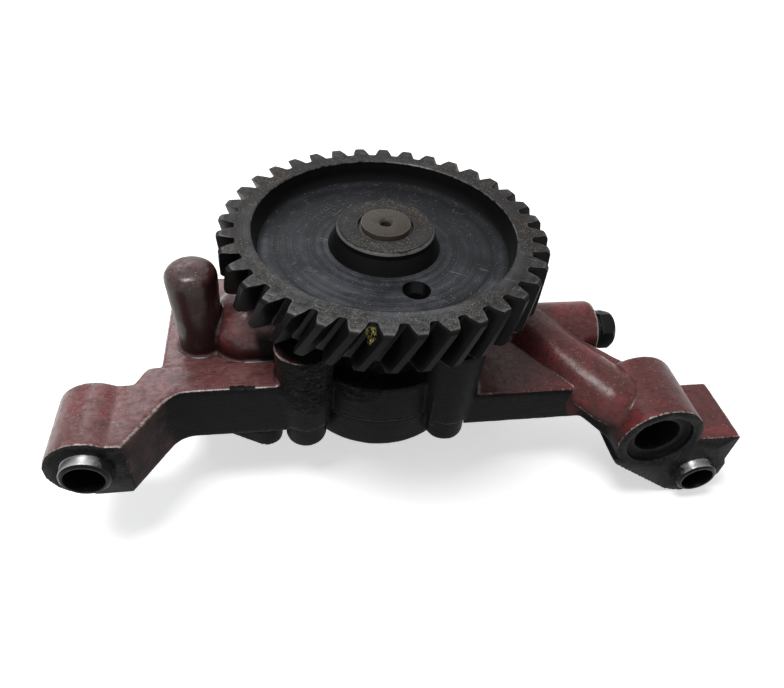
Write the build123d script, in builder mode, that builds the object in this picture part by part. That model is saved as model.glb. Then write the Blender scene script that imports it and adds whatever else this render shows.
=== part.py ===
"""Engine oil pump: a spur-gear pump in a cast body with two mounting arms,
turned by a helical gear on top.  Millimetres.  +Z is the gear axis.  The origin is
the axis of the left mounting bolt where it crosses the mounting face, which is XZ."""

import os
from math import acos, atan2, cos, degrees, hypot, pi, radians, sin, tan

from build123d import *

# ---- where the main axes lie ------------------------------------------------
drive_x = 128.0            # drive shaft, from the left mounting bolt
drive_y = 75.0             # drive shaft, behind the mounting face
rim_top_z = 65.0           # top face of the helical gear
joint_z = -14.0            # joint between the body and its cover
right_bolt_x = 284.0       # right mounting bolt
right_bolt_z = -37.0
port_x = 255.0             # outlet port in the mounting face
port_z = -9.0

# ---- helical drive gear -----------------------------------------------------
teeth = 36
normal_module = 3.5
helix_angle = 27.0
normal_pressure_angle = 20.0
gear_width = 20.0
tooth_backlash = 0.15
tooth_bevel = 1.4
first_tooth_angle = 83.2
recess_r = 59.5            # recess in the top face
recess_depth = 10.2
recess_draft = 2.0
web_thickness = 6.5
hub_r = 22.5
hub_foot_r = 25.9
hub_edge = 1.0
hub_step = 3.0
hub_drop = 2.0             # how far the hub stands below the teeth
hub_groove_r = 15.0
hub_groove_depth = 1.2
web_hole_r = 6.2
web_hole_orbit = 35.4
web_hole_angle = -74.9

# ---- shafts, bushes and keys ------------------------------------------------
shaft_r = 13.0
shaft_end_r = 11.0         # lower journal
shaft_proud = 1.5          # above the gear's top face
shaft_chamfer = 1.0
centre_drill_r = 3.0
centre_drill_depth = 5.0
running_gap = 0.04         # radial, shaft in bush
bush_wall = 3.0
bush_length = 15.0
cover_bush_length = 14.0
idler_shaft_r = 11.0
idler_bush_wall = 2.5
key_width = 8.0
key_height = 7.0
key_depth = 4.0            # of the key in the shaft
key_length = 28.0
key_fit = 0.02
thrust_washer_r = 20.0
thrust_washer_thickness = 2.5
thrust_gap = 0.2

# ---- pump gears -------------------------------------------------------------
pump_teeth = 12
pump_module = 4.5
pump_pressure_angle = 27.0
pump_backlash = 0.2
pocket_depth = 38.0
tip_gap = 0.1              # tooth tips to the pocket wall
side_gap = 0.1             # gear faces to the pocket floor and the cover

# ---- body casting -----------------------------------------------------------
pocket_wall = 5.4
flange_r = 42.0            # lower body round each shaft
flange_shift = 6.0         # the front of the lower body is thicker by this
flange_height = 21.5
pocket_roof = 8.0
bearing_boss_r = 21.0
idler_boss_r = 16.0
idler_boss_height = 5.0
cast_fillet = 4.0
chamber_reach = 34.0       # of the inlet and outlet chambers, each side of the gears
chamber_shift = 16.0
chamber_length = 44.0
chamber_corner = 6.0
chamber_depth = 15.0
idler_seat_depth = 6.0
front_boss_r = 13.5        # at the top
front_boss_foot_r = 11.7   # at the joint
front_boss_top = 31.8
rib_thickness = 9.0
rib_height = 32.0
bolt_boss_r = 9.8
bolt_boss_height = 24.0

# ---- left arm ---------------------------------------------------------------
left_boss_r = 16.6
left_boss_depth = 34.0
left_boss_side = 15.7      # flat side of the boss, towards the pump
left_arm_top = 13.6
left_arm_bottom = -17.0
arm_front_y = 27.0
arm_back_y = 44.0
arm_bend_x = 32.5
arm_front_bend_r = 12.0
arm_back_bend_r = 4.0
arm_back_step = 4.5        # from the boss's flat side to the arm's back edge
arm_edge = 1.2

# ---- suction side -----------------------------------------------------------
suction_x = 50.0
suction_y = 61.0
suction_r = 12.0
suction_face_z = -31.0
suction_neck_r = 18.0
suction_flange_thickness = 10.0
suction_ear_r = 7.5
suction_ear_orbit = 30.7
suction_ear_angle = -48.6
suction_block_left = 26.0
suction_block_back = 108.0
suction_block_bottom = -19.0
suction_block_corner = 14.0
suction_tube_r = 20.0
suction_tube_y = 64.0
suction_tube_z = 17.0
suction_tube_left = 66.0
suction_riser_top = 6.0
suction_passage_r = 9.0
suction_passage_z = -5.5
ear_bolt_r = 3.4           # tapping size
ear_bolt_depth = 16.0
dome_x = 43.0
dome_y = 59.0
dome_foot_r = 8.8
dome_r = 10.4
dome_centre_z = 47.0

# ---- outlet side ------------------------------------------------------------
right_arm_top = 2.5
right_arm_bottom = -18.0
right_arm_front_y = 25.0
slant_from = 29.0          # the arm's slanting front, from the port axis
slant_to = 18.5
slant_foot_y = 8.0
pad_chamfer = 1.2
gallery_tube_r = 14.8
gallery_start_x = 208.0
gallery_start_y = 74.0
gallery_z = -2.5
gallery_end_x = 250.0
gallery_end_y = 9.0
gallery_r = 7.5
port_boss_r = 21.0
port_boss_depth = 37.0
port_r = 11.0
port_depth = 26.0
seal_seat_r = 16.0
seal_seat_depth = 3.0
right_boss_r = 17.0
right_boss_depth = 36.0
lug_right = 298.5          # square lug beside the outlet boss
lug_top = -10.2

# ---- relief valve -----------------------------------------------------------
valve_z = -5.0
valve_tube_r = 16.0
valve_tube_end = 244.5
valve_r = 9.0
valve_seat_x = 216.0
valve_inlet_r = 6.0
valve_gap = 0.03
piston_length = 12.0
piston_wall = 2.1
piston_chamfer = 0.8
piston_lift = 5.0
spill_hole_r = 3.0
spring_wire_r = 0.9
spring_coil_r = 5.3
spring_turns = 6
spring_gap = 0.15
shim_thickness = 1.5
plug_across_flats = 19.0
plug_head = 8.0
plug_neck_r = 8.2
plug_neck = 2.2
plug_collar_r = 11.0
plug_collar = 1.5
plug_thread_r = 9.5
piston_lift = 5.0
plug_stop_gap = 0.5         # piston at full lift to the plug
plug_recess_r = 7.0
plug_washer_thickness = 1.5

# ---- mounting sleeves -------------------------------------------------------
sleeve_r = 10.0             # free end, slides into the block
sleeve_seat_r = 10.2        # end held in the body, with a shoulder at the face
sleeve_bore_r = 8.0
sleeve_proud = 5.0
sleeve_seat = 10.0
sleeve_chamfer = 1.0
hole_overrun = 2.0         # of a cutter past the face it breaks through

# ---- cover, gasket and fasteners --------------------------------------------
cover_thickness = 19.0
gasket_thickness = 0.4
cover_edge = 1.5
lobe_lift = 5.0            # the screw lobes stop short of the cover's face
lobe_edge = 0.8
lobe_neck = 9.0            # webs between the two front lobes and the flange
cover_room = 1.0           # between the cover and the arms beside it
left_screw_x = 38.7        # the two front screws, from the drive shaft
left_screw_y = 39.7
right_screw_x = 29.9
right_screw_y = 41.4
side_screw_x = 46.0        # the pair beside the waist
rear_screw_x = 30.0        # the rear pair, from the idler shaft
rear_screw_y = 36.0
pin_x = 40.5
pin_y = 2.0
bolt_r = 4.0
bolt_clearance = 0.5
bolt_reach = 16.0          # of thread in the body
thread_run_out = 2.0
bolt_head_r = 6.5
bolt_head = 8.0
bolt_socket = 6.0          # across the flats of the hexagon socket
bolt_socket_depth = 4.0
head_room = 0.5            # round the heads in their counterbores
head_depth = 0.4           # of the heads below the cover's face
washer_thickness = 2.0
pin_r = 3.0
pin_length = 16.0
pin_chamfer = 0.6
pin_boss_r = 8.0

# ---- worked out -------------------------------------------------------------
transverse_module = normal_module / cos(radians(helix_angle))
pitch_r = teeth * transverse_module / 2
tip_r = pitch_r + normal_module
root_r = pitch_r - 1.25 * normal_module
transverse_pressure_angle = degrees(
    atan2(tan(radians(normal_pressure_angle)), cos(radians(helix_angle)))
)
gear_bottom_z = rim_top_z - gear_width
web_top_z = rim_top_z - recess_depth
web_bottom_z = web_top_z - web_thickness
hub_bottom_z = gear_bottom_z - hub_drop

pump_pitch_r = pump_teeth * pump_module / 2
pump_tip_r = pump_pitch_r + pump_module
pump_root_r = pump_pitch_r - 1.25 * pump_module
idler_y = drive_y + 2 * pump_pitch_r
pocket_r = pump_tip_r + tip_gap
boss_draft = degrees(atan2(front_boss_r - front_boss_foot_r, front_boss_top - joint_z))
pocket_top_z = joint_z + pocket_depth
neck_r = pocket_r + pocket_wall
neck_top_z = pocket_top_z + pocket_roof
bearing_top_z = hub_bottom_z - thrust_washer_thickness - thrust_gap
flange_top_z = joint_z + flange_height
cover_top_z = joint_z - gasket_thickness
cover_bottom_z = cover_top_z - cover_thickness
pump_gear_bottom_z = cover_top_z + side_gap
pump_gear_width = pocket_top_z - side_gap - pump_gear_bottom_z
key_bottom_z = pump_gear_bottom_z + (pump_gear_width - key_length) / 2
shaft_top_z = rim_top_z + shaft_proud
shaft_bottom_z = cover_top_z - cover_bush_length + 0.5

front_bolts = [
    (drive_x - left_screw_x, drive_y - left_screw_y),
    (drive_x + right_screw_x, drive_y - right_screw_y),
]
side_bolts = [(drive_x + side * side_screw_x, drive_y + pump_pitch_r) for side in (-1, 1)]
rear_bolts = [(drive_x + side * rear_screw_x, idler_y + rear_screw_y) for side in (-1, 1)]
cover_bolts_at = front_bolts + side_bolts + rear_bolts
mounting_bolts = [((0, 0), left_boss_depth), ((right_bolt_x, right_bolt_z), right_boss_depth)]
cover_pins_at = [(drive_x + side * pin_x, idler_y - pin_y) for side in (-1, 1)]
round_ends = [(drive_x, drive_y - flange_shift), (drive_x, idler_y)]
lobe_bottom_z = cover_bottom_z + lobe_lift
cover_lobes = [(centre, flange_r, cover_bottom_z, cover_edge) for centre in round_ends]
cover_lobes += [(centre, bolt_boss_r, lobe_bottom_z, lobe_edge) for centre in cover_bolts_at]
cover_lobes += [(centre, pin_boss_r, lobe_bottom_z, lobe_edge) for centre in cover_pins_at]
head_seat_z = lobe_bottom_z + head_depth + bolt_head
standing = (Align.CENTER, Align.CENTER, Align.MIN)
suction_ears = [
    (
        suction_x + end * suction_ear_orbit * cos(radians(suction_ear_angle)),
        suction_y + end * suction_ear_orbit * sin(radians(suction_ear_angle)),
    )
    for end in (1, -1)
]

piston_r = valve_r - valve_gap
plug_thread_end_x = valve_seat_x + piston_length + piston_lift + plug_stop_gap
plug_thread_length = valve_tube_end - plug_thread_end_x
plug_collar_x = valve_tube_end + plug_washer_thickness
plug_recess_end_x = plug_collar_x + plug_collar
spring_start_x = valve_seat_x + piston_wall + spring_gap
spring_end_x = plug_recess_end_x - shim_thickness - spring_gap


def involute_angle(pressure_angle):
    """Involute function of an angle in radians."""
    return tan(pressure_angle) - pressure_angle


def gear_profile(count, base_r, inner_r, outer_r, half_tooth):
    """Outline of a spur or transverse gear section with a tooth centred on +X.
    half_tooth is half the tooth's angle at the base circle, in radians."""

    def flank_point(r, side, centre):
        angle = half_tooth
        if r > base_r:
            angle -= involute_angle(acos(base_r / r))
        angle = centre + side * angle
        return (r * cos(angle), r * sin(angle))

    flank_start = max(inner_r, base_r)
    flank_rs = [flank_start + (outer_r - flank_start) * step / 3 for step in range(4)]
    pitch_angle = 2 * pi / count
    with BuildSketch() as profile:
        with BuildLine():
            for tooth in range(count):
                centre = tooth * pitch_angle
                rising = [flank_point(r, -1, centre) for r in flank_rs]
                falling = [flank_point(r, 1, centre) for r in reversed(flank_rs)]
                crest = (outer_r * cos(centre), outer_r * sin(centre))
                gap = centre + pitch_angle / 2
                floor = (inner_r * cos(gap), inner_r * sin(gap))
                foot = flank_point(inner_r, 1, centre)
                next_foot = flank_point(inner_r, -1, centre + pitch_angle)
                Spline(*rising)
                ThreePointArc(rising[-1], crest, falling[0])
                Spline(*falling)
                if inner_r < base_r:
                    next_start = flank_point(flank_start, -1, centre + pitch_angle)
                    Line(falling[-1], foot)
                    ThreePointArc(foot, floor, next_foot)
                    Line(next_foot, next_start)
                else:
                    ThreePointArc(foot, floor, next_foot)
        make_face()
    return profile.sketch


def half_tooth_angle(count, pitch_circle_r, pressure_angle, backlash):
    """Half a tooth's angle at its base circle, thinned by the backlash."""
    arc = pi * pitch_circle_r / count - backlash / 2
    return arc / 2 / pitch_circle_r + involute_angle(radians(pressure_angle))


def towards_shaft(x, y):
    """Place at a point with its own X axis towards the drive shaft, and the way there."""
    heading = degrees(atan2(drive_y - y, drive_x - x))
    return Location((x, y, 0), (0, 0, heading)), hypot(drive_x - x, drive_y - y)


def front_webs(width):
    """Radial strips from the front bolts towards the drive shaft, up to the pocket."""
    with BuildSketch() as webs:
        for bolt in front_bolts:
            place, reach = towards_shaft(*bolt)
            with Locations(place):
                Rectangle(reach - pocket_r, width, align=(Align.MIN, Align.CENTER))
    return webs.sketch


def pump_outline(room=0.0):
    """Outline shared by the lower body, the gasket and the cover, grown by room."""
    with BuildSketch() as outline:
        for centre, lobe_r, _, _ in cover_lobes:
            with Locations(centre):
                Circle(lobe_r + room)
        with Locations((drive_x, (drive_y + idler_y) / 2)):
            Rectangle(2 * (flange_r + room), idler_y - drive_y)
        add(front_webs(lobe_neck + 2 * room))
    return outline.sketch


def waisted_outline(radius):
    """The wall round the two gears, with its waist filled."""
    with BuildSketch() as outline:
        with Locations((drive_x, drive_y), (drive_x, idler_y)):
            Circle(radius)
        with Locations((drive_x, (drive_y + idler_y) / 2)):
            Rectangle(1.8 * radius, idler_y - drive_y)
    return outline.sketch


def ring_of(radius, centre):
    """A circle at one place, for a sketch."""
    with BuildSketch() as ring:
        with Locations(centre):
            Circle(radius)
    return ring.sketch


os.makedirs("parts", exist_ok=True)

drive_axis = Axis((drive_x, drive_y, 0), (0, 0, 1))
mount_face = Plane.XZ

# ---- blanks of the body casting, each with its own rounded edges ------------
with BuildPart() as left_arm:
    with BuildSketch(Plane.XY.offset(left_arm_bottom)) as left_arm_plan:
        with BuildLine():
            Polyline(
                (0, 0),
                (left_boss_side, 0),
                (arm_bend_x, arm_front_y),
                (drive_x - 30, arm_front_y),
                (drive_x - 30, arm_back_y),
                (left_boss_side + arm_back_step, arm_back_y),
                (left_boss_side, left_boss_depth),
                (0, left_boss_depth),
                close=True,
            )
        make_face()
        front_bend = left_arm_plan.vertices().sort_by_distance((arm_bend_x, arm_front_y))[0]
        fillet(front_bend, arm_front_bend_r)
        back_bend_at = (left_boss_side + arm_back_step, arm_back_y)
        back_bend = left_arm_plan.vertices().sort_by_distance(back_bend_at)[0]
        fillet(back_bend, arm_back_bend_r)
    extrude(amount=left_arm_top - left_arm_bottom)
    arm_rims = left_arm.faces().sort_by(Axis.Z)[-1].edges() + left_arm.faces().sort_by(Axis.Z)[0].edges()
    arm_rims = [rim for rim in arm_rims if rim.center().Y > 1 and rim.center().X > left_boss_side]
    fillet(arm_rims, arm_edge)

with BuildPart() as right_arm:
    with BuildSketch(Plane.XY.offset(right_arm_bottom)) as right_arm_plan:
        with BuildLine():
            Polyline(
                (drive_x + 20, right_arm_front_y),
                (port_x - slant_from, right_arm_front_y),
                (port_x - slant_to, slant_foot_y),
                (port_x - slant_to, 0),
                (port_x + 5, 0),
                (port_x + 5, port_boss_depth - 4),
                (gallery_start_x + 20, drive_y - 8),
                (gallery_start_x, drive_y),
                (drive_x + 20, drive_y),
                close=True,
            )
        make_face()
    extrude(amount=right_arm_top - right_arm_bottom)
    pad_rims = right_arm.faces().sort_by(Axis.Z)[-1].edges()
    pad_rims = [rim for rim in pad_rims if 1 < rim.center().Y < right_arm_front_y + 1]
    chamfer(pad_rims, pad_chamfer)

gallery_run = Vector(
    gallery_end_x - gallery_start_x, gallery_end_y - gallery_start_y, port_z - gallery_z
)
gallery_plane = Plane(
    origin=(gallery_start_x, gallery_start_y, gallery_z), z_dir=gallery_run.normalized()
)
with BuildPart() as gallery_tube:
    with BuildSketch(gallery_plane):
        Circle(gallery_tube_r)
    extrude(amount=gallery_run.length)
    # below the arm's top the tube is flush with the arm's slanting front
    with BuildSketch(Plane.XY.offset(right_arm_top)):
        with BuildLine():
            Polyline(
                (port_x - slant_from, right_arm_front_y),
                (port_x - slant_to, slant_foot_y),
                (port_x - slant_to, 0),
                (port_x - slant_from - gallery_tube_r, 0),
                (port_x - slant_from - gallery_tube_r, right_arm_front_y),
                close=True,
            )
        make_face()
    extrude(amount=-3 * gallery_tube_r, mode=Mode.SUBTRACT)

with BuildPart() as lower_body:
    with BuildSketch(Plane.XY.offset(joint_z)):
        add(pump_outline())
    extrude(amount=flange_height)

with BuildPart() as pocket_housing:
    with BuildSketch(Plane.XY.offset(joint_z)):
        add(waisted_outline(neck_r))
    extrude(amount=neck_top_z - joint_z)
    fillet(pocket_housing.faces().sort_by(Axis.Z)[-1].edges(), cast_fillet)

with BuildPart() as outlet_end:
    with BuildSketch(mount_face):
        with Locations((right_bolt_x, right_bolt_z)):
            Circle(right_boss_r)
        with BuildLine():
            Polyline(
                (port_x - 19.6, port_z - 13.5),
                (port_x - 16, port_z - 17.5),
                (right_bolt_x - 9.5, right_bolt_z - 15),
                (right_bolt_x, right_bolt_z),
                (port_x, port_z),
                close=True,
            )
        make_face()
        with BuildLine():
            Polyline(
                (port_x, lug_top),
                (lug_right, lug_top),
                (lug_right, right_bolt_z + 3),
                (port_x, right_bolt_z + 3),
                close=True,
            )
        make_face()
    extrude(amount=-right_boss_depth)
    with BuildSketch(mount_face):
        with Locations((port_x, port_z)):
            Circle(port_boss_r)
    extrude(amount=-port_boss_depth)

# =============================================================================
# pump body
# =============================================================================
inlet_run = Vector(drive_x - pump_tip_r - suction_x, drive_y + 12 - suction_y, 0)
inlet_plane = Plane(origin=(suction_x, suction_y, suction_passage_z), z_dir=inlet_run.normalized())

with BuildPart() as pump_body:
    add(lower_body.part)
    add(pocket_housing.part)
    add(left_arm.part)
    add(right_arm.part)
    add(outlet_end.part)

    # bearing boss and the boss over the idler shaft
    with BuildSketch(Plane.XY.offset(neck_top_z - 1)):
        add(ring_of(bearing_boss_r, (drive_x, drive_y)))
    extrude(amount=bearing_top_z - neck_top_z + 1)
    with BuildSketch(Plane.XY.offset(neck_top_z - 1)):
        add(ring_of(idler_boss_r, (drive_x, idler_y)))
    extrude(amount=idler_boss_height + 1)

    # bolt bosses: two tall drafted ones in front, four short ones
    with BuildSketch(Plane.XY.offset(front_boss_top)):
        with Locations(*front_bolts):
            Circle(front_boss_r)
    extrude(amount=joint_z - front_boss_top, taper=boss_draft)
    with BuildSketch(Plane.XY.offset(joint_z)):
        with Locations(*side_bolts, *rear_bolts):
            Circle(bolt_boss_r)
    extrude(amount=bolt_boss_height)

    # ribs from the tall bosses to the wall of the pocket
    with BuildSketch(Plane.XY.offset(joint_z)):
        add(front_webs(rib_thickness))
    extrude(amount=rib_height)

    # left mounting boss
    with BuildSketch(mount_face):
        Circle(left_boss_r)
    extrude(amount=-left_boss_depth)

    # suction block, the rounded tube on it and the domed riser
    with BuildSketch(Plane.XY.offset(suction_block_bottom)):
        with BuildLine():
            Polyline(
                (suction_block_left, arm_back_y - 1),
                (drive_x - pocket_r - 2, arm_back_y - 1),
                (drive_x - pocket_r - 2, suction_block_back),
                (suction_block_left + suction_block_corner, suction_block_back),
                (suction_block_left, suction_block_back - suction_block_corner),
                close=True,
            )
        make_face()
    extrude(amount=left_arm_top - 0.8 - suction_block_bottom)
    with BuildSketch(Plane.YZ.offset(suction_tube_left)):
        with Locations((suction_tube_y, suction_tube_z)):
            Circle(suction_tube_r)
    extrude(amount=drive_x - pocket_r - 2 - suction_tube_left)
    with Locations((suction_tube_left, suction_tube_y, suction_tube_z)):
        Sphere(suction_tube_r)
    with BuildSketch(Plane.XZ.offset(-dome_y)):
        with BuildLine():
            Polyline(
                (dome_x, 0),
                (dome_x + dome_foot_r, 0),
                (dome_x + dome_foot_r, left_arm_top),
                (dome_x + dome_r, dome_centre_z),
            )
            ThreePointArc(
                (dome_x + dome_r, dome_centre_z),
                (dome_x + dome_r * sin(pi / 4), dome_centre_z + dome_r * cos(pi / 4)),
                (dome_x, dome_centre_z + dome_r),
            )
            Line((dome_x, dome_centre_z + dome_r), (dome_x, 0))
        make_face()
    revolve(axis=Axis((dome_x, dome_y, 0), (0, 0, 1)))

    # suction neck and its two-eared flange underneath
    with BuildSketch(Plane.XY.offset(suction_face_z)):
        add(ring_of(suction_neck_r, (suction_x, suction_y)))
    extrude(amount=suction_block_bottom - suction_face_z + 1)
    with BuildSketch(Plane.XY.offset(suction_face_z)):
        with Locations((suction_x, suction_y)):
            Circle(suction_neck_r)
        with Locations(*suction_ears):
            Circle(suction_ear_r)
        make_hull()
    extrude(amount=suction_flange_thickness)

    # relief valve tube and the diagonal gallery tube to the outlet boss
    with BuildSketch(Plane.YZ.offset(drive_x + pocket_r + 2)):
        with Locations((drive_y, valve_z)):
            Circle(valve_tube_r)
    extrude(amount=valve_tube_end - drive_x - pocket_r - 2)
    add(gallery_tube.part)

    # room for the cover below the joint
    with BuildSketch(Plane.XY.offset(joint_z)):
        add(pump_outline(cover_room))
    extrude(amount=suction_face_z - joint_z, mode=Mode.SUBTRACT)

    # gear pocket, with an inlet and an outlet chamber open to the joint face
    with BuildSketch(Plane.XY.offset(joint_z)):
        with Locations((drive_x, drive_y), (drive_x, idler_y)):
            Circle(pocket_r)
    extrude(amount=pocket_depth, mode=Mode.SUBTRACT)
    with BuildSketch(Plane.XY.offset(joint_z)):
        with Locations((drive_x, drive_y + chamber_shift)):
            RectangleRounded(2 * chamber_reach, chamber_length, chamber_corner)
    extrude(amount=chamber_depth, mode=Mode.SUBTRACT)

    # suction riser, inlet passage and the tapped holes in the ears
    with BuildSketch(Plane.XY.offset(suction_face_z)):
        add(ring_of(suction_r, (suction_x, suction_y)))
    extrude(amount=suction_riser_top - suction_face_z, mode=Mode.SUBTRACT)
    with BuildSketch(inlet_plane):
        Circle(suction_passage_r)
    extrude(amount=inlet_run.length, mode=Mode.SUBTRACT)
    with BuildSketch(Plane.XY.offset(suction_face_z)):
        with Locations(*suction_ears):
            Circle(ear_bolt_r)
    extrude(amount=ear_bolt_depth, mode=Mode.SUBTRACT)

    # bores for the upper bush and the idler shaft
    with BuildSketch(Plane.XY.offset(pocket_top_z - 1)):
        add(ring_of(shaft_r + bush_wall, (drive_x, drive_y)))
    extrude(amount=bearing_top_z - pocket_top_z + 2, mode=Mode.SUBTRACT)
    with BuildSketch(Plane.XY.offset(pocket_top_z - 1)):
        add(ring_of(idler_shaft_r, (drive_x, idler_y)))
    extrude(amount=idler_seat_depth + 1, mode=Mode.SUBTRACT)

    # outlet passage, valve bore, spill hole and gallery
    with BuildSketch(Plane.YZ.offset(drive_x + chamber_reach - 4)):
        with Locations((drive_y, valve_z)):
            Circle(valve_inlet_r)
    extrude(amount=valve_seat_x - drive_x - chamber_reach + 5, mode=Mode.SUBTRACT)
    with BuildSketch(Plane.YZ.offset(valve_seat_x)):
        with Locations((drive_y, valve_z)):
            Circle(valve_r)
    extrude(amount=valve_tube_end - valve_seat_x + 1, mode=Mode.SUBTRACT)
    with BuildSketch(Plane.YZ.offset(plug_thread_end_x)):
        with Locations((drive_y, valve_z)):
            Circle(plug_thread_r)
    extrude(amount=plug_thread_length + 1, mode=Mode.SUBTRACT)
    with BuildSketch(Plane.XY.offset(valve_z - valve_tube_r - 1)):
        add(ring_of(spill_hole_r, (valve_seat_x + spill_hole_r + 0.4, drive_y)))
    extrude(amount=valve_tube_r, mode=Mode.SUBTRACT)
    with BuildSketch(gallery_plane):
        Circle(gallery_r)
    extrude(amount=gallery_run.length - 4, mode=Mode.SUBTRACT)

    # outlet port with its seal seat
    with BuildSketch(mount_face):
        with Locations((port_x, port_z)):
            Circle(port_r)
    extrude(amount=-port_depth, mode=Mode.SUBTRACT)
    with BuildSketch(mount_face):
        with Locations((port_x, port_z)):
            Circle(seal_seat_r)
    extrude(amount=-seal_seat_depth, mode=Mode.SUBTRACT)

    # mounting bolt holes with seats for the sleeves
    for bolt_at, boss_depth in mounting_bolts:
        with BuildSketch(mount_face):
            with Locations(bolt_at):
                Circle(sleeve_bore_r)
        extrude(amount=-boss_depth - hole_overrun, mode=Mode.SUBTRACT)
    with BuildSketch(mount_face):
        with Locations((0, 0), (right_bolt_x, right_bolt_z)):
            Circle(sleeve_seat_r)
    extrude(amount=-sleeve_seat, mode=Mode.SUBTRACT)

    # tapped holes for the cover bolts and holes for the dowel pins
    with BuildSketch(Plane.XY.offset(joint_z)):
        with Locations(*cover_bolts_at):
            Circle(bolt_r)
    extrude(amount=bolt_reach + thread_run_out, mode=Mode.SUBTRACT)
    with BuildSketch(Plane.XY.offset(joint_z)):
        with Locations(*cover_pins_at):
            Circle(pin_r)
    extrude(amount=pin_length / 2, mode=Mode.SUBTRACT)
pump_body.part.label = "pump_body"
export_step(pump_body.part, "parts/pump_body.step")

# =============================================================================
# cover, gasket and their fasteners
# =============================================================================
with BuildPart() as cover_gasket:
    with BuildSketch(Plane.XY.offset(cover_top_z)):
        add(pump_outline())
        with Locations((drive_x, drive_y), (drive_x, idler_y)):
            Circle(pocket_r, mode=Mode.SUBTRACT)
        with Locations((drive_x, drive_y + chamber_shift)):
            RectangleRounded(2 * chamber_reach, chamber_length, chamber_corner, mode=Mode.SUBTRACT)
        with Locations(*cover_bolts_at):
            Circle(bolt_r + bolt_clearance, mode=Mode.SUBTRACT)
        with Locations(*cover_pins_at):
            Circle(pin_r, mode=Mode.SUBTRACT)
    extrude(amount=gasket_thickness)
cover_gasket.part.label = "cover_gasket"
export_step(cover_gasket.part, "parts/cover_gasket.step")

with BuildPart() as pump_cover:
    for (lobe_x, lobe_y), lobe_r, bottom_z, edge in cover_lobes:
        with Locations((lobe_x, lobe_y, bottom_z)):
            Cone(lobe_r - edge, lobe_r, edge, align=standing)
        with Locations((lobe_x, lobe_y, bottom_z + edge)):
            Cylinder(lobe_r, cover_top_z - bottom_z - edge, align=standing)
    with BuildSketch(Plane.XZ.offset(-drive_y)):
        with BuildLine():
            Polyline(
                (drive_x - flange_r + cover_edge, cover_bottom_z),
                (drive_x + flange_r - cover_edge, cover_bottom_z),
                (drive_x + flange_r, cover_bottom_z + cover_edge),
                (drive_x + flange_r, cover_top_z),
                (drive_x - flange_r, cover_top_z),
                (drive_x - flange_r, cover_bottom_z + cover_edge),
                close=True,
            )
        make_face()
    extrude(amount=drive_y - idler_y)
    with BuildSketch(Plane.XY.offset(lobe_bottom_z)):
        add(front_webs(lobe_neck))
    extrude(amount=cover_top_z - lobe_bottom_z)
    with BuildSketch(Plane.XY.offset(cover_top_z)):
        add(ring_of(shaft_end_r + bush_wall, (drive_x, drive_y)))
    extrude(amount=-cover_bush_length, mode=Mode.SUBTRACT)
    with BuildSketch(Plane.XY.offset(cover_top_z)):
        add(ring_of(idler_shaft_r, (drive_x, idler_y)))
    extrude(amount=-idler_seat_depth, mode=Mode.SUBTRACT)
    with BuildSketch(Plane.XY.offset(cover_top_z)):
        with Locations(*cover_bolts_at):
            Circle(bolt_r + bolt_clearance)
    extrude(amount=-cover_thickness, mode=Mode.SUBTRACT)
    with BuildSketch(Plane.XY.offset(cover_bottom_z)):
        with Locations(*cover_bolts_at):
            Circle(bolt_head_r + head_room)
    extrude(amount=head_seat_z + washer_thickness - cover_bottom_z, mode=Mode.SUBTRACT)
    with BuildSketch(Plane.XY.offset(cover_top_z)):
        with Locations(*cover_pins_at):
            Circle(pin_r)
    extrude(amount=gasket_thickness - pin_length / 2, mode=Mode.SUBTRACT)
pump_cover.part.label = "pump_cover"
export_step(pump_cover.part, "parts/pump_cover.step")

with BuildPart() as cover_washers:
    with BuildSketch(Plane.XY.offset(head_seat_z)):
        with Locations(*cover_bolts_at):
            Circle(bolt_head_r)
            Circle(bolt_r + bolt_clearance, mode=Mode.SUBTRACT)
    extrude(amount=washer_thickness)
cover_washers.part.label = "cover_washers"
export_step(cover_washers.part, "parts/cover_washers.step")

with BuildPart() as cover_bolts:
    with BuildSketch(Plane.XY.offset(head_seat_z)):
        with Locations(*cover_bolts_at):
            Circle(bolt_head_r)
    extrude(amount=-bolt_head)
    with BuildSketch(Plane.XY.offset(head_seat_z)):
        with Locations(*cover_bolts_at):
            Circle(bolt_r)
    extrude(amount=joint_z + bolt_reach - head_seat_z)
    with BuildSketch(Plane.XY.offset(head_seat_z - bolt_head)):
        with Locations(*cover_bolts_at):
            RegularPolygon(bolt_socket / 2, 6, major_radius=False)
    extrude(amount=bolt_socket_depth, mode=Mode.SUBTRACT)
cover_bolts.part.label = "cover_bolts"
export_step(cover_bolts.part, "parts/cover_bolts.step")

with BuildPart() as cover_dowel_pins:
    with BuildSketch(Plane.XY.offset(joint_z - pin_length / 2)):
        with Locations(*cover_pins_at):
            Circle(pin_r)
    extrude(amount=pin_length)
    chamfer(cover_dowel_pins.edges().filter_by(GeomType.CIRCLE), pin_chamfer)
cover_dowel_pins.part.label = "cover_dowel_pins"
export_step(cover_dowel_pins.part, "parts/cover_dowel_pins.step")

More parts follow.
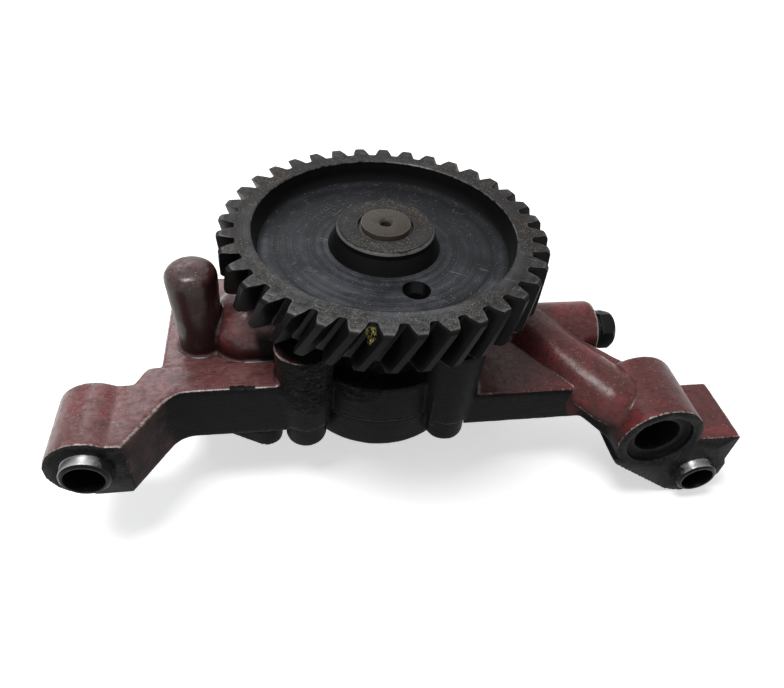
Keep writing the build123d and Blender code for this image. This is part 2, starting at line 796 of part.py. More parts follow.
# =============================================================================
# mounting sleeves
# =============================================================================
for side, (bolt_x, bolt_z) in {"left": (0.0, 0.0), "right": (right_bolt_x, right_bolt_z)}.items():
    with BuildPart() as sleeve:
        with BuildSketch(Plane.XZ.offset(-sleeve_seat)):
            with Locations((bolt_x, bolt_z)):
                Circle(sleeve_seat_r)
        extrude(amount=sleeve_seat)
        with BuildSketch(Plane.XZ):
            with Locations((bolt_x, bolt_z)):
                Circle(sleeve_r)
        extrude(amount=sleeve_proud)
        with BuildSketch(Plane.XZ.offset(sleeve_proud)):
            with Locations((bolt_x, bolt_z)):
                Circle(sleeve_bore_r)
        extrude(amount=-sleeve_proud - sleeve_seat, mode=Mode.SUBTRACT)
        sleeve_rim = sleeve.faces().sort_by(Axis.Y)[0].edges().sort_by(SortBy.RADIUS)[-1]
        chamfer(sleeve_rim, sleeve_chamfer)
    sleeve.part.label = f"{side}_mounting_sleeve"
    export_step(sleeve.part, f"parts/{side}_mounting_sleeve.step")

# =============================================================================
# shaft, bushes and thrust washer
# =============================================================================
with BuildPart() as upper_shaft_bush:
    with BuildSketch(Plane.XY.offset(bearing_top_z - bush_length)):
        with Locations((drive_x, drive_y)):
            Circle(shaft_r + bush_wall)
            Circle(shaft_r + running_gap, mode=Mode.SUBTRACT)
    extrude(amount=bush_length)
upper_shaft_bush.part.label = "upper_shaft_bush"
export_step(upper_shaft_bush.part, "parts/upper_shaft_bush.step")

with BuildPart() as lower_shaft_bush:
    with BuildSketch(Plane.XY.offset(cover_top_z - cover_bush_length)):
        with Locations((drive_x, drive_y)):
            Circle(shaft_end_r + bush_wall)
            Circle(shaft_end_r + running_gap, mode=Mode.SUBTRACT)
    extrude(amount=cover_bush_length)
lower_shaft_bush.part.label = "lower_shaft_bush"
export_step(lower_shaft_bush.part, "parts/lower_shaft_bush.step")

with BuildPart() as thrust_washer:
    with BuildSketch(Plane.XY.offset(bearing_top_z)):
        with Locations((drive_x, drive_y)):
            Circle(thrust_washer_r)
            Circle(shaft_r + 2 * thrust_gap, mode=Mode.SUBTRACT)
    extrude(amount=thrust_washer_thickness)
thrust_washer.part.label = "thrust_washer"
export_step(thrust_washer.part, "parts/thrust_washer.step")

with BuildPart() as drive_shaft:
    with BuildSketch(Plane.XZ.offset(-drive_y)):
        with BuildLine():
            Polyline(
                (drive_x, shaft_bottom_z),
                (drive_x + shaft_end_r - shaft_chamfer, shaft_bottom_z),
                (drive_x + shaft_end_r, shaft_bottom_z + shaft_chamfer),
                (drive_x + shaft_end_r, cover_top_z),
                (drive_x + shaft_r, cover_top_z + side_gap),
                (drive_x + shaft_r, shaft_top_z - shaft_chamfer),
                (drive_x + shaft_r - shaft_chamfer, shaft_top_z),
                (drive_x + centre_drill_r, shaft_top_z),
                (drive_x + centre_drill_r / 3, shaft_top_z - centre_drill_r),
                (drive_x + centre_drill_r / 3, shaft_top_z - centre_drill_depth),
                (drive_x, shaft_top_z - centre_drill_depth),
                close=True,
            )
        make_face()
    revolve(axis=drive_axis)
    with BuildSketch(Plane.XY.offset(key_bottom_z)):
        with Locations((drive_x + shaft_r - key_depth + key_height / 2, drive_y)):
            Rectangle(key_height, key_width)
    extrude(amount=key_length, mode=Mode.SUBTRACT)
drive_shaft.part.label = "drive_shaft"
export_step(drive_shaft.part, "parts/drive_shaft.step")

with BuildPart() as pump_gear_key:
    with BuildSketch(Plane.XY.offset(key_bottom_z)):
        with Locations((drive_x + shaft_r - key_depth + key_height / 2, drive_y)):
            Rectangle(key_height, key_width)
    extrude(amount=key_length)
pump_gear_key.part.label = "pump_gear_key"
export_step(pump_gear_key.part, "parts/pump_gear_key.step")

# =============================================================================
# pump gears: the driving one on its key, the idler on its bush
# =============================================================================
pump_profile = gear_profile(
    pump_teeth,
    pump_pitch_r * cos(radians(pump_pressure_angle)),
    pump_root_r,
    pump_tip_r,
    half_tooth_angle(pump_teeth, pump_pitch_r, pump_pressure_angle, pump_backlash),
)
with BuildPart() as pump_driving_gear:
    with BuildSketch(Plane.XY.offset(pump_gear_bottom_z)):
        with Locations((drive_x, drive_y)):
            add(pump_profile)
            Circle(shaft_r, mode=Mode.SUBTRACT)
        with Locations((drive_x + shaft_r - key_depth + key_height / 2, drive_y)):
            Rectangle(key_height + 2 * key_fit, key_width, mode=Mode.SUBTRACT)
    extrude(amount=pump_gear_width)
pump_driving_gear.part.label = "pump_driving_gear"
export_step(pump_driving_gear.part, "parts/pump_driving_gear.step")

with BuildPart() as pump_idler_gear:
    with BuildSketch(Plane.XY.offset(pump_gear_bottom_z)):
        with Locations(Location((drive_x, idler_y, 0), (0, 0, 180 / pump_teeth))):
            add(pump_profile)
        with Locations((drive_x, idler_y)):
            Circle(idler_shaft_r + idler_bush_wall, mode=Mode.SUBTRACT)
    extrude(amount=pump_gear_width)
pump_idler_gear.part.label = "pump_idler_gear"
export_step(pump_idler_gear.part, "parts/pump_idler_gear.step")

with BuildPart() as idler_bush:
    with BuildSketch(Plane.XY.offset(pump_gear_bottom_z)):
        with Locations((drive_x, idler_y)):
            Circle(idler_shaft_r + idler_bush_wall)
            Circle(idler_shaft_r + running_gap, mode=Mode.SUBTRACT)
    extrude(amount=pump_gear_width)
idler_bush.part.label = "idler_bush"
export_step(idler_bush.part, "parts/idler_bush.step")

with BuildPart() as idler_shaft:
    with BuildSketch(Plane.XY.offset(cover_top_z - idler_seat_depth)):
        with Locations((drive_x, idler_y)):
            Circle(idler_shaft_r)
    extrude(amount=pocket_top_z - cover_top_z + 2 * idler_seat_depth)
    chamfer(idler_shaft.edges().filter_by(GeomType.CIRCLE), shaft_chamfer)
idler_shaft.part.label = "idler_shaft"
export_step(idler_shaft.part, "parts/idler_shaft.step")

# =============================================================================
# relief valve: piston, spring, shim, washer and plug, all on one axis along X
# =============================================================================
valve_axis = Axis((0, drive_y, valve_z), (1, 0, 0))
valve_section = Plane(origin=(0, drive_y, valve_z), x_dir=(1, 0, 0), z_dir=(0, -1, 0))

with BuildPart() as relief_piston:
    with BuildSketch(valve_section):
        with BuildLine():
            Polyline(
                (valve_seat_x, 0),
                (valve_seat_x, piston_r - piston_chamfer),
                (valve_seat_x + piston_chamfer, piston_r),
                (valve_seat_x + piston_length, piston_r),
                (valve_seat_x + piston_length, piston_r - piston_wall),
                (valve_seat_x + piston_wall, piston_r - piston_wall),
                (valve_seat_x + piston_wall, 0),
                close=True,
            )
        make_face()
    revolve(axis=valve_axis)
relief_piston.part.label = "relief_piston"
export_step(relief_piston.part, "parts/relief_piston.step")

spring_length = spring_end_x - spring_start_x - 2 * spring_wire_r
with BuildPart() as relief_spring:
    with BuildLine() as coil:
        Helix(
            pitch=spring_length / spring_turns,
            height=spring_length,
            radius=spring_coil_r,
            center=(spring_start_x + spring_wire_r, drive_y, valve_z),
            direction=(1, 0, 0),
        )
    with BuildSketch(Plane(origin=coil.line @ 0, z_dir=coil.line % 0)):
        RegularPolygon(spring_wire_r, 6)
    sweep(path=coil.line, is_frenet=True)
relief_spring.part.label = "relief_spring"
export_step(relief_spring.part, "parts/relief_spring.step")

with BuildPart() as relief_shim:
    with BuildSketch(Plane.YZ.offset(plug_recess_end_x - shim_thickness)):
        with Locations((drive_y, valve_z)):
            Circle(plug_recess_r - spring_gap)
    extrude(amount=shim_thickness)
relief_shim.part.label = "relief_shim"
export_step(relief_shim.part, "parts/relief_shim.step")

with BuildPart() as relief_plug_washer:
    with BuildSketch(Plane.YZ.offset(valve_tube_end)):
        with Locations((drive_y, valve_z)):
            Circle(plug_collar_r)
            Circle(plug_thread_r, mode=Mode.SUBTRACT)
    extrude(amount=plug_washer_thickness)
relief_plug_washer.part.label = "relief_plug_washer"
export_step(relief_plug_washer.part, "parts/relief_plug_washer.step")

plug_head_x = plug_collar_x + plug_collar + plug_neck
with BuildPart() as relief_plug:
    with BuildSketch(valve_section):
        with BuildLine():
            Polyline(
                (plug_thread_end_x, plug_recess_r),
                (plug_thread_end_x, plug_thread_r),
                (plug_collar_x, plug_thread_r),
                (plug_collar_x, plug_collar_r),
                (plug_collar_x + plug_collar, plug_collar_r),
                (plug_collar_x + plug_collar, plug_neck_r),
                (plug_head_x + 1, plug_neck_r),
                (plug_head_x + 1, 0),
                (plug_recess_end_x, 0),
                (plug_recess_end_x, plug_recess_r),
                close=True,
            )
        make_face()
    revolve(axis=valve_axis)
    with BuildSketch(Plane.YZ.offset(plug_head_x)):
        with Locations((drive_y, valve_z)):
            RegularPolygon(plug_across_flats / 2, 6, major_radius=False, rotation=90)
    extrude(amount=plug_head)
relief_plug.part.label = "relief_plug"
export_step(relief_plug.part, "parts/relief_plug.step")

# =============================================================================
# helical drive gear
# =============================================================================
gear_blank = gear_profile(
    teeth,
    pitch_r * cos(radians(transverse_pressure_angle)),
    root_r,
    tip_r,
    half_tooth_angle(teeth, pitch_r, transverse_pressure_angle, tooth_backlash),
)
helix_turn = degrees(gear_width * tan(radians(helix_angle)) / pitch_r)

with BuildPart() as drive_gear:
    for step in range(3):
        level = gear_bottom_z + gear_width * step / 2
        turn = first_tooth_angle - helix_turn * (1 - step / 2)
        with BuildSketch(Plane.XY.offset(level)):
            with Locations(Location((drive_x, drive_y, 0), (0, 0, turn))):
                add(gear_blank)
    loft(ruled=True)
    with BuildSketch(Plane.XZ.offset(-drive_y)):
        with BuildLine():
            Polyline(
                (drive_x, gear_bottom_z),
                (drive_x + tip_r - tooth_bevel, gear_bottom_z),
                (drive_x + tip_r + 0.1, gear_bottom_z + tooth_bevel),
                (drive_x + tip_r + 0.1, rim_top_z - tooth_bevel),
                (drive_x + tip_r - tooth_bevel, rim_top_z),
                (drive_x, rim_top_z),
                close=True,
            )
        make_face()
    revolve(axis=drive_axis, mode=Mode.INTERSECT)
    # recesses above and below the web, with the hub standing in them
    with BuildSketch(Plane.XZ.offset(-drive_y)):
        with BuildLine():
            Polyline(
                (drive_x + hub_foot_r, web_top_z),
                (drive_x + recess_r - recess_draft, web_top_z),
                (drive_x + recess_r, rim_top_z + 1),
                (drive_x + hub_r - hub_edge, rim_top_z + 1),
                (drive_x + hub_r - hub_edge, rim_top_z),
                (drive_x + hub_r, rim_top_z - hub_edge),
                (drive_x + hub_r, rim_top_z - hub_step),
                close=True,
            )
        make_face()
        with BuildLine():
            Polyline(
                (drive_x + hub_foot_r, web_bottom_z),
                (drive_x + recess_r - recess_draft, web_bottom_z),
                (drive_x + recess_r, gear_bottom_z - 1),
                (drive_x + hub_foot_r, gear_bottom_z - 1),
                close=True,
            )
        make_face()
        # bore, with a groove round it in the hub's face
        with BuildLine():
            Polyline(
                (drive_x, gear_bottom_z - 1),
                (drive_x + shaft_r, gear_bottom_z - 1),
                (drive_x + shaft_r, rim_top_z - hub_groove_depth),
                (drive_x + hub_groove_r, rim_top_z - hub_groove_depth),
                (drive_x + hub_groove_r, rim_top_z + 1),
                (drive_x, rim_top_z + 1),
                close=True,
            )
        make_face()
    revolve(axis=drive_axis, mode=Mode.SUBTRACT)
    # the hub reaches below the teeth
    with BuildSketch(Plane.XY.offset(hub_bottom_z)):
        with Locations((drive_x, drive_y)):
            Circle(hub_r)
            Circle(shaft_r, mode=Mode.SUBTRACT)
    extrude(amount=web_bottom_z - hub_bottom_z + 0.5)
    with BuildSketch(Plane.XY.offset(web_bottom_z - 1)):
        with Locations(
            (
                drive_x + web_hole_orbit * cos(radians(web_hole_angle)),
                drive_y + web_hole_orbit * sin(radians(web_hole_angle)),
            )
        ):
            Circle(web_hole_r)
    extrude(amount=web_thickness + 2, mode=Mode.SUBTRACT)
drive_gear.part.label = "drive_gear"
export_step(drive_gear.part, "parts/drive_gear.step")
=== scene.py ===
# Engine oil pump, dressed for rendering round its CAD frame.
import math

import bmesh
import bpy
import numpy as np
from mathutils import Matrix, Vector, noise


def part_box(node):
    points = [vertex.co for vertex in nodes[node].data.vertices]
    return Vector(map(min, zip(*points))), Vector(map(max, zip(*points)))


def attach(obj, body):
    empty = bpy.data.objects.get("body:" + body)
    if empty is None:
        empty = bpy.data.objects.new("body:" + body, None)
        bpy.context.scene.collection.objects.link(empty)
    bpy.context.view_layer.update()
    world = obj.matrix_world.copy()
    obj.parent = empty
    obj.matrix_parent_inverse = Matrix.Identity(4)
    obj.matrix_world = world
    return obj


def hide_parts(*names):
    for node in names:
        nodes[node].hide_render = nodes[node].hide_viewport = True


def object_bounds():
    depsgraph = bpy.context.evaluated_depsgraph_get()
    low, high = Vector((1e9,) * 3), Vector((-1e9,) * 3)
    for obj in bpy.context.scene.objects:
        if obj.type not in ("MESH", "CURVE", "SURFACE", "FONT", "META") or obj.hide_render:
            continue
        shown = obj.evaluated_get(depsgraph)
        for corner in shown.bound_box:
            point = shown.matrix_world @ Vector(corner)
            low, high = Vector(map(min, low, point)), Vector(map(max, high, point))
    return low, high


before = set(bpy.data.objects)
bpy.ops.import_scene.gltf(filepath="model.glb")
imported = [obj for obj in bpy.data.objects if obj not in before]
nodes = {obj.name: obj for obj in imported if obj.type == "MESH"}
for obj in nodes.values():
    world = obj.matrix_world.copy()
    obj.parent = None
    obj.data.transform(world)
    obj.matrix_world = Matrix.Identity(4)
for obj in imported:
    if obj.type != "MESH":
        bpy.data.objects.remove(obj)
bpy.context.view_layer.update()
scene = bpy.context.scene
mm = 0.001
print("frame loaded,", len(nodes), "nodes")

gearTop = 65 * mm
gearAxis = (128 * mm, 75 * mm, 0.0)  # the shafts and the relief valve: X, Y, Z
idlerAxis = (128 * mm, 129 * mm, 0.0)
valveAxis = (244 * mm, 75 * mm, -5 * mm)
leftBolt = (0.0, 0.0)  # the bores in the mounting face: X, Z
rightBolt = (284 * mm, -37 * mm)
outlet = (255 * mm, -9 * mm)


# nodes, for shaders and for geometry
def feed(tree, node, values):
    for name, value in values.items():
        if isinstance(value, bpy.types.NodeSocket):
            tree.links.new(value, node.inputs[name])
        else:
            node.inputs[name].default_value = value
    return node


def addNode(tree, kind, values=None, **settings):
    node = tree.nodes.new(kind)
    node.location = (190 * (len(tree.nodes) % 12), -240 * (len(tree.nodes) // 12))
    for name, value in settings.items():
        setattr(node, name, value)
    return feed(tree, node, values or {})


def calc(tree, operation, a, b=0.0, c=0.0, clamp=False):
    node = addNode(tree, "ShaderNodeMath", {0: a, 1: b, 2: c}, operation=operation, use_clamp=clamp)
    return node.outputs[0]


def scaleAdd(tree, value, factor, base):
    return calc(tree, "MULTIPLY_ADD", value, factor, base)


def inverse(tree, value):
    return calc(tree, "SUBTRACT", 1.0, value)


def most(tree, value, *others):
    for other in others:
        value = calc(tree, "MAXIMUM", value, other)
    return value


def product(tree, value, *others):
    for other in others:
        value = calc(tree, "MULTIPLY", value, other)
    return value


def distanceOf(tree, a, b):
    return calc(tree, "SQRT", calc(tree, "ADD", product(tree, a, a), product(tree, b, b)))


def awayFrom(tree, at, across, centre):
    # distance from a line that crosses the plane of the two named axes at the centre
    return distanceOf(tree, *(calc(tree, "SUBTRACT", at[axis], c) for axis, c in zip(across, centre)))


def vectorCalc(tree, operation, a, b=(0.0, 0.0, 0.0)):
    node = addNode(tree, "ShaderNodeVectorMath", {0: a, 1: b}, operation=operation)
    return node.outputs["Value" if operation in ("DISTANCE", "LENGTH", "DOT_PRODUCT") else "Vector"]


def splitOf(tree, vector):
    return addNode(tree, "ShaderNodeSeparateXYZ", {"Vector": vector}).outputs


def edgeOf(tree):
    return addNode(tree, "ShaderNodeAttribute", attribute_name="edge").outputs["Fac"]


def ramp(tree, value, low, high, outLow=0.0, outHigh=1.0):
    node = addNode(tree, "ShaderNodeMapRange", {
        "Value": value, "From Min": low, "From Max": high, "To Min": outLow, "To Max": outHigh,
    }, interpolation_type="SMOOTHSTEP")
    return node.outputs["Result"]


def mixColour(tree, mask, a, b):
    a, b = ((*colour, 1.0) if isinstance(colour, tuple) else colour for colour in (a, b))
    return addNode(tree, "ShaderNodeMix", {"Factor": mask, 6: a, 7: b}, data_type="RGBA").outputs[2]


def noiseOf(tree, where, scale, detail=3.0, roughness=0.55, dimensions="3D"):
    return addNode(tree, "ShaderNodeTexNoise", {
        "W" if dimensions == "1D" else "Vector": where,
        "Scale": scale, "Detail": detail, "Roughness": roughness,
    }, noise_dimensions=dimensions).outputs["Fac"]


def bump(tree, height, distance, strength):
    return addNode(tree, "ShaderNodeBump", {
        "Height": height, "Distance": distance, "Strength": strength,
    }).outputs["Normal"]


def newGroup(name, inputs, outputs, kind="ShaderNodeTree"):
    # each input is a label, a socket kind and perhaps a value
    tree = bpy.data.node_groups.new(name, kind)
    for label, socketKind, *value in inputs:
        socket = tree.interface.new_socket(label, in_out="INPUT", socket_type="NodeSocket" + socketKind)
        if value:
            socket.default_value = value[0]
    for label, socketKind in outputs:
        tree.interface.new_socket(label, in_out="OUTPUT", socket_type="NodeSocket" + socketKind)
    return tree, addNode(tree, "NodeGroupInput").outputs, addNode(tree, "NodeGroupOutput")


def useGroup(tree, group, values):
    return addNode(tree, "ShaderNodeGroup", values, node_tree=group).outputs


# effects that several finishes share
def makeEdgeWear():
    # bare metal along corners, broken up so that it comes and goes
    tree, given, out = newGroup("edgeWear", [
        ("Vector", "Vector"), ("Edge", "Float", 0.0), ("Start", "Float", 0.2),
        ("Breakup", "Float", 0.6), ("Scale", "Float", 300.0),
    ], [("Mask", "Float")])
    coarse = noiseOf(tree, given["Vector"], given["Scale"], 4.0, 0.7)
    broken = product(tree, calc(tree, "SUBTRACT", coarse, 0.5), given["Breakup"])
    level = calc(tree, "ADD", given["Edge"], broken)
    end = calc(tree, "ADD", given["Start"], 0.18)
    feed(tree, out, {"Mask": ramp(tree, level, given["Start"], end)})
    return tree


def makeCastSkin():
    # sand-cast skin: low lumps, fine grain and a few pits
    tree, given, out = newGroup("castSkin", [
        ("Vector", "Vector"), ("Scale", "Float", 400.0), ("Pitting", "Float", 0.3),
    ], [("Height", "Float")])
    lumps = noiseOf(tree, given["Vector"], given["Scale"], 3.0, 0.6)
    grain = noiseOf(tree, given["Vector"], product(tree, given["Scale"], 4.5), 2.0, 0.5)
    cells = addNode(tree, "ShaderNodeTexVoronoi", {
        "Vector": given["Vector"], "Scale": product(tree, given["Scale"], 1.3),
    }, feature="SMOOTH_F1").outputs["Distance"]
    pits = product(tree, ramp(tree, cells, 0.32, 0.1), given["Pitting"])
    feed(tree, out, {"Height": calc(tree, "SUBTRACT", scaleAdd(tree, grain, 0.35, lumps), pits)})
    return tree


def makeTurnedMarks():
    # rings left by a lathe round the Z axis of the vector
    tree, given, out = newGroup("turnedMarks", [("Vector", "Vector"), ("Scale", "Float", 900.0)],
                                [("Height", "Float"), ("Shade", "Float")])
    at = splitOf(tree, given["Vector"])
    radius = distanceOf(tree, at["X"], at["Y"])
    fine = noiseOf(tree, radius, given["Scale"], 3.0, 0.7, "1D")
    broad = noiseOf(tree, radius, product(tree, given["Scale"], 0.12), 2.0, 0.5, "1D")
    feed(tree, out, {"Height": fine, "Shade": scaleAdd(tree, fine, 0.5, product(tree, broad, 0.5))})
    return tree


def makeGrit():
    # loose specks: small cells, only a share of them filled, thicker in some places
    tree, given, out = newGroup("grit", [
        ("Vector", "Vector"), ("Scale", "Float", 900.0), ("Amount", "Float", 0.2),
    ], [("Mask", "Float"), ("Tint", "Float")])
    cells = addNode(tree, "ShaderNodeTexVoronoi", {
        "Vector": given["Vector"], "Scale": given["Scale"],
    }).outputs
    drawn = addNode(tree, "ShaderNodeSeparateColor", {"Color": cells["Color"]}).outputs
    gather = noiseOf(tree, given["Vector"], 45.0, 3.0, 0.6)
    share = product(tree, given["Amount"], ramp(tree, gather, 0.38, 0.68, 0.1, 2.0))
    chosen = calc(tree, "LESS_THAN", drawn[0], share)
    dot = calc(tree, "LESS_THAN", cells["Distance"], scaleAdd(tree, drawn[1], 0.25, 0.12))
    feed(tree, out, {"Mask": product(tree, chosen, dot), "Tint": drawn[2]})
    return tree


def makeCorners():
    # how far the surface turns at a corner, for pieces with plain hard edges
    tree, given, out = newGroup("corners", [("Radius", "Float", 0.5 * mm)], [("Edge", "Float")])
    soft = addNode(tree, "ShaderNodeBevel", {"Radius": given["Radius"]}, samples=4).outputs["Normal"]
    hard = addNode(tree, "ShaderNodeNewGeometry").outputs["Normal"]
    turned = inverse(tree, vectorCalc(tree, "DOT_PRODUCT", soft, hard))
    feed(tree, out, {"Edge": calc(tree, "MULTIPLY", turned, 4.0, clamp=True)})
    return tree


def makeScratches():
    # thin straight scratches in one direction, here and there
    tree, given, out = newGroup("scratches", [
        ("Vector", "Vector"), ("Turn", "Vector", (0.0, 0.0, 0.5)), ("Amount", "Float", 0.5),
    ], [("Mask", "Float")])
    along = addNode(tree, "ShaderNodeVectorRotate", {
        "Vector": given["Vector"], "Rotation": given["Turn"],
    }, rotation_type="EULER_XYZ").outputs[0]
    drawnOut = vectorCalc(tree, "MULTIPLY", along, (0.05, 1.0, 0.3))
    lines = ramp(tree, noiseOf(tree, drawnOut, 1700.0, 2.0, 0.5), 0.63, 0.72)
    patches = ramp(tree, noiseOf(tree, given["Vector"], 70.0, 3.0, 0.6), 0.46, 0.62)
    feed(tree, out, {"Mask": product(tree, lines, patches, given["Amount"])})
    return tree


edgeWear = makeEdgeWear()
castSkin = makeCastSkin()
turnedMarks = makeTurnedMarks()
grit = makeGrit()
corners = makeCorners()
scratches = makeScratches()

finishes = {}


def newFinish(name, constants=None):
    material = bpy.data.materials.new(name)
    finishes[name] = material
    material.use_nodes = True
    tree = material.node_tree
    tree.nodes.clear()
    shader = addNode(tree, "ShaderNodeBsdfPrincipled", constants)
    addNode(tree, "ShaderNodeOutputMaterial", {"Surface": shader.outputs["BSDF"]})
    return tree, shader, addNode(tree, "ShaderNodeTexCoord").outputs


casting = {
    "paint": (0.098, 0.024, 0.024),
    "scuffed": (0.205, 0.030, 0.034),
    # pale film on the paint's top faces, which also stands in for a painted sheen
    "filmAndSheen": (0.215, 0.104, 0.102),
    # black of oil, which on the front faces also stands in for painted shade
    "oilAndShade": (0.0060, 0.0064, 0.0068),
    "pit": (0.0016, 0.0016, 0.0018),
    "flake": (0.0150, 0.0150, 0.0155),
    "rubbed": (0.42, 0.38, 0.36),
    "dust": (0.36, 0.30, 0.20),
    "root": (0.022, 0.007, 0.007),
    "frontDepth": (42.5 * mm, 39.5 * mm),  # how far back the blackened front faces go
    "columnReach": (68.5 * mm, 64.5 * mm),  # blackened forms, out from the gear's axis
    "housingReach": (50 * mm, 47.5 * mm),
    "bores": [(leftBolt, 10.7 * mm, 48 * mm), (rightBolt, 10.7 * mm, 48 * mm),
              (outlet, 16.4 * mm, 4 * mm), (outlet, 11.4 * mm, 26 * mm)],
    "drip": (62 * mm, 28.2 * mm, 13 * mm),
    "dripSize": (6.5 * mm, 1.8 * mm, 3.0 * mm),
}
# forms that the casting adds to its CAD solid: the riser's crown and the gallery's swollen tube
riser = {"place": (43 * mm, 59 * mm, 5 * mm), "foot": 9.2 * mm, "radius": 11.2 * mm,
         "shoulder": 46.5 * mm, "round": 5.2 * mm, "crown": 1.6 * mm}
tube = {"from": (205.5 * mm, 72.4 * mm, -2.5 * mm), "to": (238.0 * mm, 22.5 * mm, -6.0 * mm),
        "radius": 16.6 * mm, "lowest": -5.5 * mm}
tubeRun = Vector(tube["to"]) - Vector(tube["from"])
# crusts of burnt oil: centre, radius, depth, lump size
crusts = [
    ((95 * mm, 24 * mm, 16 * mm), 21 * mm, 1.2 * mm, 4.2 * mm),
    ((112 * mm, 30 * mm, 10 * mm), 15 * mm, 0.9 * mm, 3.2 * mm),
]


def makeBlackened(tree, where, at, facing, ragged):
    # black: oil on the middle of the body and in the bores, oil and painted shade together on the front
    # faces, and the lower faces darkened too
    front = product(tree, ramp(tree, scaleAdd(tree, facing["Y"], -1.0, ragged), 0.38, 0.74),
                    ramp(tree, scaleAdd(tree, ragged, 10 * mm, at["Y"]), *casting["frontDepth"]))
    below = ramp(tree, scaleAdd(tree, facing["Z"], -1.0, ragged), 0.10, 0.45)
    reach = scaleAdd(tree, ragged, 8 * mm, awayFrom(tree, at, "XY", gearAxis))
    columns = product(tree, ramp(tree, reach, *casting["columnReach"]),
                      ramp(tree, at["Y"], 50 * mm, 45 * mm),
                      most(tree, ramp(tree, facing["Z"], 0.95, 0.75),
                           ramp(tree, at["Z"], 15 * mm, 18 * mm)))
    housing = product(tree, ramp(tree, reach, *casting["housingReach"]),
                      ramp(tree, at["Y"], 85 * mm, 70 * mm))
    inBores = [product(tree, ramp(tree, awayFrom(tree, at, "XZ", centre), radius + 0.3 * mm, radius),
                       ramp(tree, at["Y"], depth, depth - 1 * mm))
               for centre, radius, depth in casting["bores"]]
    # the gallery's tube stays red where it bulges over the arm's slanting front
    fromTube = vectorCalc(tree, "CROSS_PRODUCT", vectorCalc(tree, "SUBTRACT", where, tube["from"]),
                          tubeRun.normalized())
    onTube = product(tree, ramp(tree, vectorCalc(tree, "LENGTH", fromTube),
                                tube["radius"] + 1.0 * mm, tube["radius"] + 0.5 * mm),
                     ramp(tree, at["X"], 204 * mm, 207 * mm), ramp(tree, at["Y"], 1.2 * mm, 3.0 * mm),
                     ramp(tree, facing["Z"], -0.30, 0.05))
    front = product(tree, front, inverse(tree, onTube))
    besidePort = product(tree, ramp(tree, at["X"], 220 * mm, 226 * mm),
                         ramp(tree, at["X"], 262 * mm, 256 * mm), ramp(tree, at["Y"], 32 * mm, 22 * mm),
                         ramp(tree, at["Z"], -10 * mm, -14 * mm))
    # a drip has run over the left arm's front edge
    fromDrip = vectorCalc(tree, "DIVIDE", vectorCalc(tree, "SUBTRACT", where, casting["drip"]),
                          casting["dripSize"])
    drip = ramp(tree, scaleAdd(tree, noiseOf(tree, where, 330.0), 2.4,
                               vectorCalc(tree, "LENGTH", fromDrip)), 2.2, 2.0)
    return most(tree, front, below, columns, housing, besidePort, drip, *inBores)


